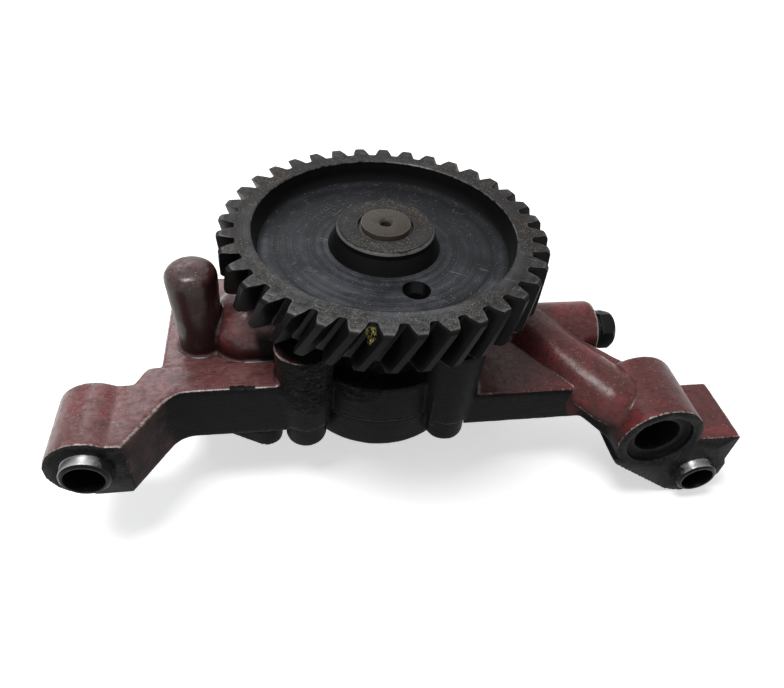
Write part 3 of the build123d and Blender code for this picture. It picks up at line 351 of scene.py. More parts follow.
def makeCastingPaint():
    tree, shader, coordinates = newFinish("castingPaint", {
        "Specular IOR Level": 0.05, "Coat Roughness": 0.27, "Coat IOR": 1.5,
    })
    where = coordinates["Object"]
    at = splitOf(tree, where)
    facing = splitOf(tree, coordinates["Normal"])
    edge = edgeOf(tree)
    blotch = noiseOf(tree, where, 70.0, 5.0, 0.65)
    fine = noiseOf(tree, where, 420.0, 4.0, 0.65)
    ragged = product(tree, calc(tree, "SUBTRACT", blotch, 0.5), 0.55)
    black = makeBlackened(tree, where, at, facing, ragged)
    painted = inverse(tree, black)

    # paint: dull maroon, scuffed brighter in patches, filmed over on top with a pale film that is also
    # painted sheen, and darkened on its sides and lower faces as painted shade
    upward = ramp(tree, facing["Z"], 0.25, 0.95)
    scuffs = ramp(tree, noiseOf(tree, where, 38.0, 5.0, 0.75), 0.50, 0.64)
    colour = mixColour(tree, product(tree, scuffs, 0.8), casting["paint"], casting["scuffed"])
    # a pale film on the upward faces, stronger on the left: partly a real film, partly painted sheen
    sheenFilm = product(tree, upward, ramp(tree, fine, 0.30, 0.80, 0.35, 1.0),
                     ramp(tree, at["X"], 60 * mm, 170 * mm, 0.78, 0.14))
    colour = mixColour(tree, sheenFilm, colour, casting["filmAndSheen"])
    # painted shade: the sides and lower faces darkened towards the root colour, in blotches
    sideShade = product(tree, ramp(tree, facing["Z"], 0.55, -0.05),
                    ramp(tree, blotch, 0.30, 0.58, 0.60, 0.97))
    stains = product(tree, ramp(tree, noiseOf(tree, where, 105.0, 5.0, 0.7), 0.54, 0.74), 0.7)
    wrinkles = noiseOf(tree, vectorCalc(tree, "MULTIPLY", where, (0.3, 1.1, 1.1)), 900.0, 3.0, 0.6)
    creases = ramp(tree, wrinkles, 0.50, 0.66, 0.0, 0.45)
    riserGrime = product(tree, ramp(tree, awayFrom(tree, at, "XY", riser["place"]), 12.5 * mm, 11.5 * mm),
                         ramp(tree, at["Z"], 10 * mm, 18 * mm), ramp(tree, blotch, 0.36, 0.56, 0.45, 0.85))
    hollows = product(tree, ramp(tree, edge, -0.06, -0.34), 0.85)
    # darker towards the root colour: painted shade on the sides, stains, paint wrinkles, grime round the
    # riser and the concave corners
    for mask in (most(tree, sideShade, stains), creases, riserGrime, hollows):
        colour = mixColour(tree, mask, colour, casting["root"])
    # the blackened faces: oil, and on the front faces painted shade as well
    colour = mixColour(tree, black, colour, casting["oilAndShade"])

    # crusts: dark pits between grey flakes
    crusted = most(tree, *(
        product(tree, ramp(tree, vectorCalc(tree, "DISTANCE", where, centre), radius, radius * 0.6), black)
        for centre, radius, depth, size in crusts))
    flattened = vectorCalc(tree, "MULTIPLY", where, (0.45, 0.45, 1.4))
    flakes = ramp(tree, noiseOf(tree, flattened, 480.0, 5.0, 0.75), 0.42, 0.58)
    flaked = mixColour(tree, flakes, casting["pit"], casting["flake"])
    colour = mixColour(tree, crusted, colour, flaked)
    specks = useGroup(tree, grit, {"Vector": where, "Scale": 1150.0, "Amount": 0.16})
    colour = mixColour(tree, product(tree, specks["Mask"], upward, painted, 0.5), colour, casting["dust"])
    worn = useGroup(tree, edgeWear, {
        "Vector": where, "Edge": edge, "Start": 0.23, "Breakup": 0.8, "Scale": 520.0,
    })["Mask"]
    worn = product(tree, worn, ramp(tree, black, 0.2, 1.0, 0.9, 0.05))
    colour = mixColour(tree, worn, colour, casting["rubbed"])

    # a broken film of oil shines on the crests of the paint, and on the crusts
    shine = product(tree, ramp(tree, fine, 0.28, 0.62, 0.45, 1.0), ramp(tree, black, 0.0, 1.0, 0.95, 0.0),
                    ramp(tree, facing["Z"], -0.05, 0.45, 0.10, 1.0),
                    ramp(tree, at["X"], 110 * mm, 220 * mm, 1.0, 0.55))
    glints = product(tree, crusted, ramp(tree, noiseOf(tree, where, 700.0, 4.0, 0.7), 0.62, 0.70), 0.7)
    skin = useGroup(tree, castSkin, {"Vector": where, "Scale": 520.0, "Pitting": 0.35})["Height"]
    skin = scaleAdd(tree, product(tree, wrinkles, painted), 0.9, skin)
    skin = scaleAdd(tree, product(tree, flakes, crusted), 5.5, skin)
    feed(tree, shader, {
        "Base Color": colour, "Roughness": scaleAdd(tree, fine, 0.30, 0.36),
        "Coat Weight": most(tree, shine, glints, product(tree, riserGrime, 0.60)),
        "Normal": bump(tree, skin, 0.20 * mm, 0.9),
    })


oilyIron = {"dark": (0.0050, 0.0054, 0.0060), "pale": (0.013, 0.0125, 0.0125),
            "rubbed": (0.10, 0.09, 0.09)}


def makeOilyIron():
    tree, shader, coordinates = newFinish("oilyIron", {"Specular IOR Level": 0.05})
    where = coordinates["Object"]
    blotch = noiseOf(tree, where, 90.0, 5.0, 0.6)
    skin = useGroup(tree, castSkin, {"Vector": where, "Scale": 480.0, "Pitting": 0.5})["Height"]
    worn = useGroup(tree, edgeWear, {
        "Vector": where, "Edge": edgeOf(tree), "Start": 0.42, "Breakup": 0.5,
    })["Mask"]
    colour = mixColour(tree, blotch, oilyIron["dark"], oilyIron["pale"])
    feed(tree, shader, {
        "Base Color": mixColour(tree, product(tree, worn, 0.25), colour, oilyIron["rubbed"]),
        "Roughness": scaleAdd(tree, blotch, 0.45, 0.24), "Normal": bump(tree, skin, 0.2 * mm, 0.8),
    })


gearSteel = {
    # near black for every face that does not face up: painted shade
    "flankShade": (0.0044, 0.0045, 0.0050),
    "dark": (0.0115, 0.0120, 0.0140),
    # bluish pale of the turning rings, also a painted bluish reflection
    "pale": (0.074, 0.080, 0.094),
    "brown": (0.057, 0.048, 0.041),
    # painted glare on the rim's top at the front
    "glare": (0.140, 0.138, 0.132),
    "rubbed": (0.30, 0.30, 0.30),
    "rust": (0.20, 0.13, 0.06),
    "straw": (0.45, 0.38, 0.20),
    "chip": (0.52, 0.47, 0.14),
    "chips": [((143.9 * mm, 75.3 * mm, 54.8 * mm), 3.6 * mm), ((114 * mm, 8.5 * mm, 60 * mm), 4.2 * mm)],
    "scratches": [((0.0, 0.0, 0.5), 0.5), ((0.0, 0.0, 2.2), 0.35)],  # turn, amount
}


def makeGearSteel():
    tree, shader, coordinates = newFinish("gearSteel", {"Specular IOR Level": 0.08})
    where = coordinates["Object"]
    centred = addNode(tree, "ShaderNodeMapping", {
        "Vector": where, "Location": (-gearAxis[0], -gearAxis[1], 0.0),
    }).outputs["Vector"]
    at = splitOf(tree, centred)
    facing = splitOf(tree, coordinates["Normal"])
    edge = edgeOf(tree)
    turned = useGroup(tree, turnedMarks, {"Vector": centred, "Scale": 2100.0})
    blotch = noiseOf(tree, where, 55.0, 5.0, 0.65)
    cloud = noiseOf(tree, where, 260.0, 4.0, 0.7)
    grain = noiseOf(tree, where, 1500.0, 3.0, 0.7)
    upward = ramp(tree, facing["Z"], 0.75, 0.97)
    rim = product(tree, upward, ramp(tree, at["Z"], gearTop - 1.5 * mm, gearTop - 0.6 * mm))

    # turning rings on the web, brightened towards the front-left as painted glare, brown grit on the rim that
    # turns to painted glare at the front, and black flanks darkened as painted shade
    # how far towards the front-left, where the glare is painted
    glareSide = scaleAdd(tree, at["X"], -0.35, product(tree, at["Y"], -0.94))
    ringsAndGlare = product(tree, ramp(tree, turned["Shade"], 0.34, 0.66),
                    ramp(tree, blotch, 0.34, 0.66, 0.15, 1.0),
                    ramp(tree, glareSide, -20 * mm, 40 * mm, 0.30, 1.20))
    colour = mixColour(tree, ringsAndGlare, gearSteel["dark"], gearSteel["pale"])
    earth = product(tree, rim, ramp(tree, grain, 0.34, 0.68, 0.15, 1.0), ramp(tree, cloud, 0.25, 0.70))
    earthAndGlare = mixColour(tree, ramp(tree, glareSide, 20 * mm, 58 * mm, 0.0, 0.8), gearSteel["brown"],
                            gearSteel["glare"])
    colour = mixColour(tree, earth, colour, earthAndGlare)
    for turn, amount in gearSteel["scratches"]:
        scored = useGroup(tree, scratches, {"Vector": where, "Turn": turn, "Amount": amount})["Mask"]
        colour = mixColour(tree, product(tree, scored, upward), colour, gearSteel["rubbed"])
    # painted shade: each face not facing up is darkened to the flank colour
    colour = mixColour(tree, inverse(tree, upward), colour, gearSteel["flankShade"])
    worn = useGroup(tree, edgeWear, {
        "Vector": where, "Edge": edge, "Start": 0.90, "Breakup": 0.5, "Scale": 330.0,
    })["Mask"]
    colour = mixColour(tree, product(tree, worn, 0.34), colour, gearSteel["rubbed"])
    amount = scaleAdd(tree, rim, 0.30, 0.07)
    specks = useGroup(tree, grit, {"Vector": where, "Scale": 1600.0, "Amount": amount})
    speckColour = mixColour(tree, specks["Tint"], gearSteel["rust"], gearSteel["straw"])
    colour = mixColour(tree, product(tree, specks["Mask"], upward, 0.6), colour, speckColour)
    for centre, radius in gearSteel["chips"]:
        near = ramp(tree, vectorCalc(tree, "DISTANCE", where, centre), radius, radius * 0.5)
        flakes = product(tree, near, ramp(tree, noiseOf(tree, where, 1100.0, 3.0, 0.7), 0.50, 0.58))
        colour = mixColour(tree, flakes, colour, gearSteel["chip"])
    height = scaleAdd(tree, product(tree, grain, rim), 1.6, product(tree, cloud, 0.6))
    height = scaleAdd(tree, product(tree, turned["Height"], upward), 0.6, height)
    feed(tree, shader, {
        "Base Color": colour, "Metallic": ramp(tree, edge, 0.6, 1.0, 0.0, 0.35),
        "Roughness": scaleAdd(tree, rim, 0.22, scaleAdd(tree, cloud, 0.22, 0.24)),
        "Normal": bump(tree, height, 0.06 * mm, 0.9),
    })


# dark and pale colour, axis and its place, roughness, metallic, wear, specks, gloss
turnedSteels = {
    "shaftSteel": ((0.016, 0.013, 0.010), (0.080, 0.067, 0.052), "z", gearAxis, 0.42, 0.2, 0.35, 0.16, 0.2),
    "plugSteel": ((0.0030, 0.0030, 0.0034), (0.009, 0.009, 0.010), "x", valveAxis, 0.30, 0.0, 0.25, 0.0,
                  0.12),
    "screwSteel": ((0.014, 0.014, 0.015), (0.036, 0.035, 0.035), "z", gearAxis, 0.34, 0.5, 0.4),
    "bushBronze": ((0.30, 0.19, 0.09), (0.46, 0.31, 0.16), "z", gearAxis, 0.3, 0.9, 0.2),
    "sealCopper": ((0.26, 0.13, 0.08), (0.42, 0.22, 0.14), "x", valveAxis, 0.35, 0.9, 0.2),
    "groundSteel": ((0.40, 0.40, 0.41), (0.58, 0.58, 0.58), "z", idlerAxis, 0.2, 0.95, 0.2),
    "pumpGearSteel": ((0.16, 0.16, 0.165), (0.28, 0.28, 0.285), "z", gearAxis, 0.3, 0.9, 0.4),
}
turnedRubbed = (0.5, 0.48, 0.46)


def makeTurnedSteel(name, dark, pale, axis, centre, roughness, metallic, wear, specked=0.0, gloss=0.3):
    # turned pieces: the rings run round the given axis
    tree, shader, coordinates = newFinish(name, {"Metallic": metallic, "Specular IOR Level": gloss})
    where = coordinates["Object"]
    turnTo = {"x": (0, math.pi / 2, 0), "z": (0, 0, 0)}[axis]
    aligned = addNode(tree, "ShaderNodeMapping", {
        "Vector": where, "Location": centre, "Rotation": turnTo,
    }, vector_type="TEXTURE").outputs["Vector"]
    turned = useGroup(tree, turnedMarks, {"Vector": aligned, "Scale": 1900.0})
    cloud = noiseOf(tree, where, 210.0, 4.0, 0.65)
    edge = useGroup(tree, corners, {})["Edge"]
    worn = useGroup(tree, edgeWear, {"Vector": where, "Edge": edge, "Start": 0.3, "Breakup": 0.5})["Mask"]
    colour = mixColour(tree, scaleAdd(tree, cloud, 0.6, product(tree, turned["Shade"], 0.4)), dark, pale)
    colour = mixColour(tree, product(tree, worn, wear), colour, turnedRubbed)
    if specked:
        specks = useGroup(tree, grit, {"Vector": where, "Scale": 1250.0, "Amount": specked})["Mask"]
        colour = mixColour(tree, product(tree, specks, 0.6), colour, gearSteel["rust"])
    feed(tree, shader, {
        "Base Color": colour, "Roughness": scaleAdd(tree, cloud, 0.22, roughness),
        "Normal": bump(tree, turned["Height"], 0.04 * mm, 0.7),
    })


sleeveSteel = {
    "dull": (0.34, 0.34, 0.35),
    "bright": (0.58, 0.58, 0.59),
    "oilAndShade": (0.020, 0.019, 0.018),
    "inside": (0.007, 0.007, 0.007),
    # centre, direction of the side left lit, and how far towards it the painted shade with oil thins out and
    # ends
    "sides": [("leftSleeveSteel", leftBolt, (-0.62, 0.78), (0.0, 6 * mm)),
              ("rightSleeveSteel", rightBolt, (-0.25, 0.97), (6.2 * mm, 9.5 * mm))],
}


def makeSleeveSteel(name, centre, towards, litReach):
    # ground outside, black with oil inside and on its end, and dark all round but for one side as painted
    # shade with oil, the lit side left as ground steel
    tree, shader, coordinates = newFinish(name, {"Specular IOR Level": 0.1})
    where = coordinates["Object"]
    at = splitOf(tree, where)
    acrossX = calc(tree, "SUBTRACT", at["X"], centre[0])
    acrossZ = calc(tree, "SUBTRACT", at["Z"], centre[1])
    outside = product(tree, ramp(tree, distanceOf(tree, acrossX, acrossZ), 9.3 * mm, 9.6 * mm),
                      ramp(tree, at["Y"], -4.3 * mm, -4.0 * mm))
    cloud = noiseOf(tree, where, 230.0, 4.0, 0.65)
    reach = scaleAdd(tree, acrossX, towards[0], product(tree, acrossZ, towards[1]))
    # painted light: bright ground steel on the side towards the light, painted shade with oil round the rest
    litSide = ramp(tree, scaleAdd(tree, calc(tree, "SUBTRACT", cloud, 0.5), 8 * mm, reach), *litReach)
    ground = mixColour(tree, cloud, sleeveSteel["dull"], sleeveSteel["bright"])
    ground = mixColour(tree, litSide, sleeveSteel["oilAndShade"], ground)
    feed(tree, shader, {
        "Base Color": mixColour(tree, outside, sleeveSteel["inside"], ground),
        "Metallic": product(tree, outside, litSide, 0.9),
        "Roughness": scaleAdd(tree, cloud, 0.25, 0.18), "Normal": bump(tree, cloud, 0.04 * mm, 0.6),
    })


gasket = {"dark": (0.006, 0.006, 0.006), "pale": (0.016, 0.014, 0.012)}


def makeFibre():
    tree, shader, coordinates = newFinish("gasketFibre")
    fibres = noiseOf(tree, coordinates["Object"], 900.0, 5.0, 0.8)
    feed(tree, shader, {
        "Base Color": mixColour(tree, fibres, gasket["dark"], gasket["pale"]),
        "Roughness": scaleAdd(tree, fibres, 0.2, 0.7), "Normal": bump(tree, fibres, 0.08 * mm, 0.7),
    })


makeCastingPaint()
makeOilyIron()
makeGearSteel()
makeFibre()
for row in sleeveSteel["sides"]:
    makeSleeveSteel(*row)
for name, row in turnedSteels.items():
    makeTurnedSteel(name, *row)
print("finishes made:", len(finishes))

finishOf = {
    "pump_body": "castingPaint", "pump_cover": "oilyIron", "cover_gasket": "gasketFibre",
    "cover_washers": "screwSteel", "cover_bolts": "screwSteel", "cover_dowel_pins": "groundSteel",
    "left_mounting_sleeve": "leftSleeveSteel", "right_mounting_sleeve": "rightSleeveSteel",
    "upper_shaft_bush": "bushBronze", "lower_shaft_bush": "bushBronze", "idler_bush": "bushBronze",
    "thrust_washer": "bushBronze", "drive_gear": "gearSteel", "drive_shaft": "shaftSteel",
    "idler_shaft": "pumpGearSteel", "pump_gear_key": "pumpGearSteel",
    "pump_driving_gear": "pumpGearSteel", "pump_idler_gear": "pumpGearSteel",
    "relief_piston": "groundSteel", "relief_spring": "pumpGearSteel", "relief_shim": "groundSteel",
    "relief_plug_washer": "sealCopper", "relief_plug": "plugSteel",
}


def setFinish(obj, finish):
    obj.data.materials.clear()
    obj.data.materials.append(finishes[finish])


for name, finish in finishOf.items():
    setFinish(nodes[name], finish)


# meshes
def addObject(name, data):
    obj = bpy.data.objects.new(name, data)
    scene.collection.objects.link(obj)
    return obj


def addPiece(name, mesh, body, node):
    # a dressed piece that stands in for one CAD node
    obj = addObject(name, mesh)
    setFinish(obj, finishOf[node])
    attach(obj, body)
    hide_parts(node)


def evaluated(obj):
    graph = bpy.context.evaluated_depsgraph_get()
    graph.update()
    mesh = bpy.data.meshes.new_from_object(obj.evaluated_get(graph), depsgraph=graph)
    bpy.data.objects.remove(obj)
    return mesh


def modified(mesh, kind, **settings):
    obj = addObject("work", mesh)
    modifier = obj.modifiers.new("work", kind)
    for name, value in settings.items():
        setattr(modifier, name, value)
    return evaluated(obj)


def edited(mesh, change):
    work = bmesh.new()
    work.from_mesh(mesh)
    result = change(work)
    work.to_mesh(mesh)
    work.free()
    return result


def mergedCopy(node):
    # a CAD node's mesh with its faces joined along their edges
    mesh = nodes[node].data.copy()
    edited(mesh, lambda work: bmesh.ops.remove_doubles(work, verts=work.verts, dist=0.002 * mm))
    return mesh


def readVectors(mesh, field):
    values = np.zeros(len(mesh.vertices) * 3)
    mesh.vertices.foreach_get(field, values)
    return values.reshape(-1, 3)


def markEdges(mesh, values):
    # where corners are, for the wear in the finishes
    mark = mesh.attributes.new("edge", "FLOAT", "POINT")
    mark.data.foreach_set("value", np.asarray(values, np.float32))


def shadeSharp(mesh):
    mesh.shade_smooth()
    mesh.set_sharp_from_angle(angle=math.radians(32))


def relaxed(points, edges, freedom, passes):
    # draws each point towards the mean of its neighbours
    count = np.bincount(edges.ravel(), minlength=len(points))[:, None]
    for _ in range(passes):
        near = np.stack([
            np.bincount(edges[:, 0], points[edges[:, 1], k], len(points))
            + np.bincount(edges[:, 1], points[edges[:, 0], k], len(points)) for k in range(3)
        ], axis=1) / count
        points = points + 0.5 * freedom[:, None] * (near - points)
    return points


def addTurned(mesh, start, towards, profile, lowest=-1.0, sides=48):
    # adds a closed turned form: the profile's rows are (radius, distance along the axis)
    turnTo = Vector(towards).to_track_quat("Z", "Y").to_matrix()

    def build(work):
        rows = []
        for radius, along in profile:
            rows.append([work.verts.new(turnTo @ Vector((
                radius * math.cos(2 * math.pi * k / sides), radius * math.sin(2 * math.pi * k / sides), along,
            )) + Vector(start)) for k in range(sides if radius else 1)])
        for lower, upper in zip(rows, rows[1:]):
            for k in range(sides):
                following = (k + 1) % sides
                ring = [lower[k % len(lower)], lower[following % len(lower)],
                        upper[following % len(upper)], upper[k % len(upper)]]
                work.faces.new([v for at, v in enumerate(ring) if v not in ring[:at]])
        for vert in (v for row in rows for v in row):
            vert.co.z = max(vert.co.z, lowest)

    edited(mesh, build)


# a casting: the CAD solid with its corners and roots rounded, and a sand-cast skin
def castFrom(node, name, settings, lumps=(), fuller=()):
    mesh = mergedCopy(node)
    for form in fuller:
        addTurned(mesh, *form)
    mesh = modified(mesh, "REMESH", mode="VOXEL", voxel_size=settings["voxel"])
    sharp = readVectors(mesh, "co")
    facing = readVectors(mesh, "normal")
    edges = np.zeros(len(mesh.edges) * 2, dtype=int)
    mesh.edges.foreach_get("vertices", edges)
    edges = edges.reshape(-1, 2)
    freedom = np.ones(len(sharp))  # machined faces and bores stay as they are
    for axis, level, side in settings["machined"]:
        freedom[(np.abs(sharp[:, axis] - level) < 0.5 * mm) & (facing[:, axis] * side > 0.7)] = 0.0
    for centre, radius, depth in settings["bores"]:
        off = np.hypot(sharp[:, 0] - centre[0], sharp[:, 2] - centre[1])
        freedom[(np.abs(off - radius) < 0.6 * mm) & (sharp[:, 1] < depth)] = 0.0
    soft = relaxed(sharp, edges, freedom, settings["passes"])
    moved = relaxed(sharp, edges, np.ones(len(sharp)), settings["edgePasses"]) - sharp
    cornered = -np.einsum("ij,ij->i", moved, facing) / mm
    for at in np.flatnonzero(freedom):
        point = Vector(soft[at])
        lump = noise.noise(point / settings["lumpSize"]) * settings["lumpDepth"]
        lump += noise.noise(point / settings["grainSize"]) * settings["grainDepth"]
        for centre, radius, depth, size in lumps:
            near = 1.0 - min(1.0, ((point - Vector(centre)).length / radius)) ** 2
            if near > 0:
                lump += near * depth * (noise.turbulence(point / size, 4, True) - 0.6)
        soft[at] += facing[at] * lump
    mesh.vertices.foreach_set("co", soft.ravel())
    markEdges(mesh, cornered)
    mesh.update()
    triangles = sum(len(p.vertices) - 2 for p in mesh.polygons)
    mesh = modified(mesh, "DECIMATE", ratio=min(1.0, settings["triangles"] / triangles))
    mesh.shade_smooth()
    print(name, "cast,", len(mesh.polygons), "faces, edge attribute kept:", "edge" in mesh.attributes)
    addPiece(name, mesh, "root", node)


bodyCasting = {
    "voxel": 0.7 * mm,
    "passes": 8,
    "edgePasses": 14,
    # machined faces: axis, level, side that they face
    "machined": [(1, 0.0, -1), (2, -14 * mm, -1), (2, -31 * mm, -1), (0, 244.5 * mm, 1),
                 (1, 3 * mm, -1)],
    # bores along Y: centre, radius, depth
    "bores": [(leftBolt, 8 * mm, 1.0), (leftBolt, 10.2 * mm, 12 * mm), (rightBolt, 8 * mm, 1.0),
              (rightBolt, 10.2 * mm, 12 * mm), (outlet, 11 * mm, 30 * mm), (outlet, 16 * mm, 5 * mm)],
    "lumpSize": 6 * mm,
    "lumpDepth": 0.10 * mm,
    "grainSize": 1.8 * mm,
    "grainDepth": 0.05 * mm,
    "triangles": 190000,
}
coverCasting = dict(bodyCasting, machined=[(2, -14.4 * mm, 1)], bores=[], triangles=90000)


def roundedEnd(radius, corner, along):
    # most of a quarter turn, from the side in towards the axis
    turns = [k * math.pi / 14 for k in range(1, 7)]
    return [(radius - corner * (1 - math.cos(turn)), along + corner * math.sin(turn)) for turn in turns]


riserProfile = [(0.0, 0.0), (riser["foot"], 0.0), (riser["radius"], riser["shoulder"]),
                *roundedEnd(riser["radius"], riser["round"], riser["shoulder"]),
                (0.0, riser["shoulder"] + riser["round"] + riser["crown"])]
tubeProfile = [(0.0, 0.0), (tube["radius"] * 0.9, 0.0), (tube["radius"], tubeRun.length),
               *roundedEnd(tube["radius"], tube["radius"], tubeRun.length),
               (0.0, tubeRun.length + tube["radius"])]
castFrom("pump_body", "pumpBodyCasting", bodyCasting, crusts,
         [(riser["place"], (0, 0, 1), riserProfile), (tube["from"], tubeRun, tubeProfile, tube["lowest"])])
castFrom("pump_cover", "pumpCoverCasting", coverCasting)

# drive gear: one tooth's wedge, repeated round the shaft
gear = {
    "teeth": 36,
    "module": 3.5 * mm,
    "helix": math.radians(27),
    "pressure": math.radians(20),
    "width": 20 * mm,
    "backlash": 0.15 * mm,
    "tipBevel": 1.4 * mm,
    "corner": 0.22 * mm,
    "rootRound": 1.1 * mm,
    "firstTooth": math.radians(83.2),
    "holeRadius": 6.2 * mm,
    "holeOrbit": 35.4 * mm,
    "holeAngle": math.radians(-74.9),
    "webMiddle": 51.5 * mm,
}
pitchR = gear["teeth"] * gear["module"] / math.cos(gear["helix"]) / 2
tipR = pitchR + gear["module"]
rootR = pitchR - 1.25 * gear["module"]
transverse = math.atan(math.tan(gear["pressure"]) / math.cos(gear["helix"]))
baseR = pitchR * math.cos(transverse)
bottomZ = gearTop - gear["width"]
helixTurn = gear["width"] * math.tan(gear["helix"]) / pitchR


def involute(angle):
    return math.tan(angle) - angle


def flankAngle(radius):
    halfTooth = (math.pi * pitchR / gear["teeth"] - gear["backlash"] / 2) / 2 / pitchR + involute(transverse)
    return halfTooth - (involute(math.acos(baseR / radius)) if radius > baseR else 0.0)


def toothOutline(limit, inset):
    # half the outline, from the middle of a gap to the middle of the crest
    gap = math.pi / gear["teeth"]
    footR = rootR + gear["rootRound"]
    footAngle = flankAngle(footR)
    spread = gear["rootRound"] / rootR
    half = [(rootR, gap), (rootR, (gap + footAngle + spread) / 2), (rootR, footAngle + spread)]
    for step in (0.3, 0.6, 0.85):
        turn = step * math.pi / 2
        half.append((rootR + gear["rootRound"] * (1 - math.cos(turn)),
                     footAngle + spread * (1 - math.sin(turn))))
    topR = min(tipR, limit)
    for step in range(7):
        radius = footR + (topR - footR) * step / 6
        half.append((radius, flankAngle(radius)))
    half += [(topR, flankAngle(topR) * share) for share in (0.5, 0.0)]
    whole = half + [(r, -a) for r, a in reversed(half[:-1])]
    points = np.array([(r * math.cos(a), r * math.sin(a)) for r, a in whole])
    if inset:
        along = np.gradient(points, axis=0)
        along[0] = (math.sin(gap), -math.cos(gap))  # the two seams move along their radius
        along[-1] = (-math.sin(gap), -math.cos(gap))
        outward = np.stack([-along[:, 1], along[:, 0]], axis=1)
        outward /= np.linalg.norm(outward, axis=1)[:, None]
        outward *= np.sign(np.sum(outward * points, axis=1))[:, None]
        points = points - outward * inset
    return points


# the section of the web and hub in mm, from the rim's top edge round to its lower edge:
# radius, height
wheelSection = [
    (60.2, 65.0), (59.9, 65.0), (59.5, 64.6), (58.6, 60.0), (57.7, 55.4), (57.2, 54.85), (56.4, 54.8),
    (48.0, 54.8), (38.0, 54.8), (29.0, 54.8), (26.6, 54.8), (25.7, 55.1), (25.2, 56.0), (22.7, 61.6),
    (22.5, 62.0), (22.5, 63.5), (22.3, 63.9), (21.4, 64.8), (21.1, 65.0), (18.0, 65.0), (15.0, 65.0),
    (12.6, 65.0), (12.4, 64.8), (12.4, 62.2), (13.0, 62.0), (13.0, 53.0), (13.0, 43.3), (13.3, 43.0),
    (17.5, 43.0), (22.1, 43.0), (22.5, 43.4), (22.5, 46.5), (25.6, 47.6), (26.4, 48.3), (38.0, 48.3),
    (48.0, 48.3), (56.6, 48.3), (57.5, 48.1), (57.9, 47.4), (59.5, 45.3), (59.9, 45.0), (60.2, 45.0),
]
cornerRows = {1: 1.0, 2: 1.0, 15: 0.5, 16: 1.12, 17: 1.0, 18: 0.5}  # how worn these rows' corners are


def makeWedge():
    rows, marks = [], []
    levels = [(0.0, 1.0), (gear["corner"], 0.0), (gear["tipBevel"], 0.0)]
    levels += [(gear["width"] * k / 8, 0.0) for k in range(1, 8)]
    levels += [(gear["width"] - z, k) for z, k in reversed(levels[:3])]
    for depth, cornered in levels:
        fromEnd = min(depth, gear["width"] - depth)
        limit = tipR - max(0.0, gear["tipBevel"] - fromEnd)
        outline = toothOutline(limit, gear["corner"] * cornered)
        turn = gear["firstTooth"] - helixTurn * (1 - depth / gear["width"])
        c, s = math.cos(turn), math.sin(turn)
        rows.append([(x * c - y * s, x * s + y * c, bottomZ + depth) for x, y in outline])
        marks.append(1.0 if fromEnd <= gear["corner"] else (0.35 if fromEnd <= gear["tipBevel"] else 0.0))
    columns = len(rows[0])
    spread = np.linspace(math.pi / gear["teeth"], -math.pi / gear["teeth"], columns)
    for at, (radius, height) in enumerate(wheelSection):
        turn = gear["firstTooth"] - helixTurn * at / (len(wheelSection) - 1)
        rows.append([(radius * mm * math.cos(turn + a), radius * mm * math.sin(turn + a), height * mm)
                     for a in spread])
        marks.append(cornerRows.get(at, 0.0))
    faces = []
    for row in range(len(rows)):
        here = row * columns
        beyond = (row + 1) % len(rows) * columns
        faces += [(here + k, beyond + k, beyond + k + 1, here + k + 1) for k in range(columns - 1)]
    mesh = bpy.data.meshes.new("gearWedge")
    mesh.from_pydata([p for row in rows for p in row], [], faces)
    markEdges(mesh, np.repeat(marks, columns))
    return mesh


def runTree(name, tree, mesh, values):
    obj = addObject(name, mesh)
    modifier = obj.modifiers.new(name, "NODES")
    modifier.node_group = tree
    for item in tree.interface.items_tree:
        if item.in_out == "INPUT" and item.name in values:
            modifier[item.identifier] = values[item.name]
    return evaluated(obj)


def makeGearTree():
    tree, given, out = newGroup("gearRound", [
        ("Geometry", "Geometry"), ("Teeth", "Int"), ("Centre", "Vector"), ("Hole radius", "Float"),
        ("Hole centre", "Vector"), ("Finish", "Material"),
    ], [("Geometry", "Geometry")], "GeometryNodeTree")
    spots = addNode(tree, "GeometryNodePoints", {"Count": given["Teeth"]}).outputs[0]
    index = addNode(tree, "GeometryNodeInputIndex").outputs[0]
    turn = calc(tree, "DIVIDE", product(tree, index, 2 * math.pi), given["Teeth"])
    spin = addNode(tree, "ShaderNodeCombineXYZ", {"Z": turn}).outputs[0]
    ring = addNode(tree, "GeometryNodeInstanceOnPoints", {
        "Points": spots, "Instance": given["Geometry"], "Rotation": spin,
    }).outputs[0]
    solid = addNode(tree, "GeometryNodeRealizeInstances", {"Geometry": ring}).outputs[0]
    solid = addNode(tree, "GeometryNodeMergeByDistance", {
        "Geometry": solid, "Distance": 0.01 * mm,
    }).outputs[0]
    solid = addNode(tree, "GeometryNodeTransform", {
        "Geometry": solid, "Translation": given["Centre"],
    }).outputs[0]
    drill = addNode(tree, "GeometryNodeMeshCylinder", {
        "Vertices": 48, "Radius": given["Hole radius"], "Depth": 20 * mm,
    }).outputs["Mesh"]
    drill = addNode(tree, "GeometryNodeTransform", {
        "Geometry": drill, "Translation": given["Hole centre"],
    }).outputs[0]
    holed = addNode(tree, "GeometryNodeMeshBoolean", {"Mesh 1": solid, "Mesh 2": drill},
                    operation="DIFFERENCE", solver="EXACT").outputs["Mesh"]
    realized = addNode(tree, "GeometryNodeRealizeInstances", {"Geometry": holed}).outputs[0]
    feed(tree, out, {"Geometry": addNode(tree, "GeometryNodeSetMaterial", {
        "Geometry": realized, "Material": given["Finish"],
    }).outputs[0]})
    return tree


def turnOutwards(work):
    bmesh.ops.recalc_face_normals(work, faces=work.faces)
    return sum(1 for e in work.edges if len(e.link_faces) != 2)


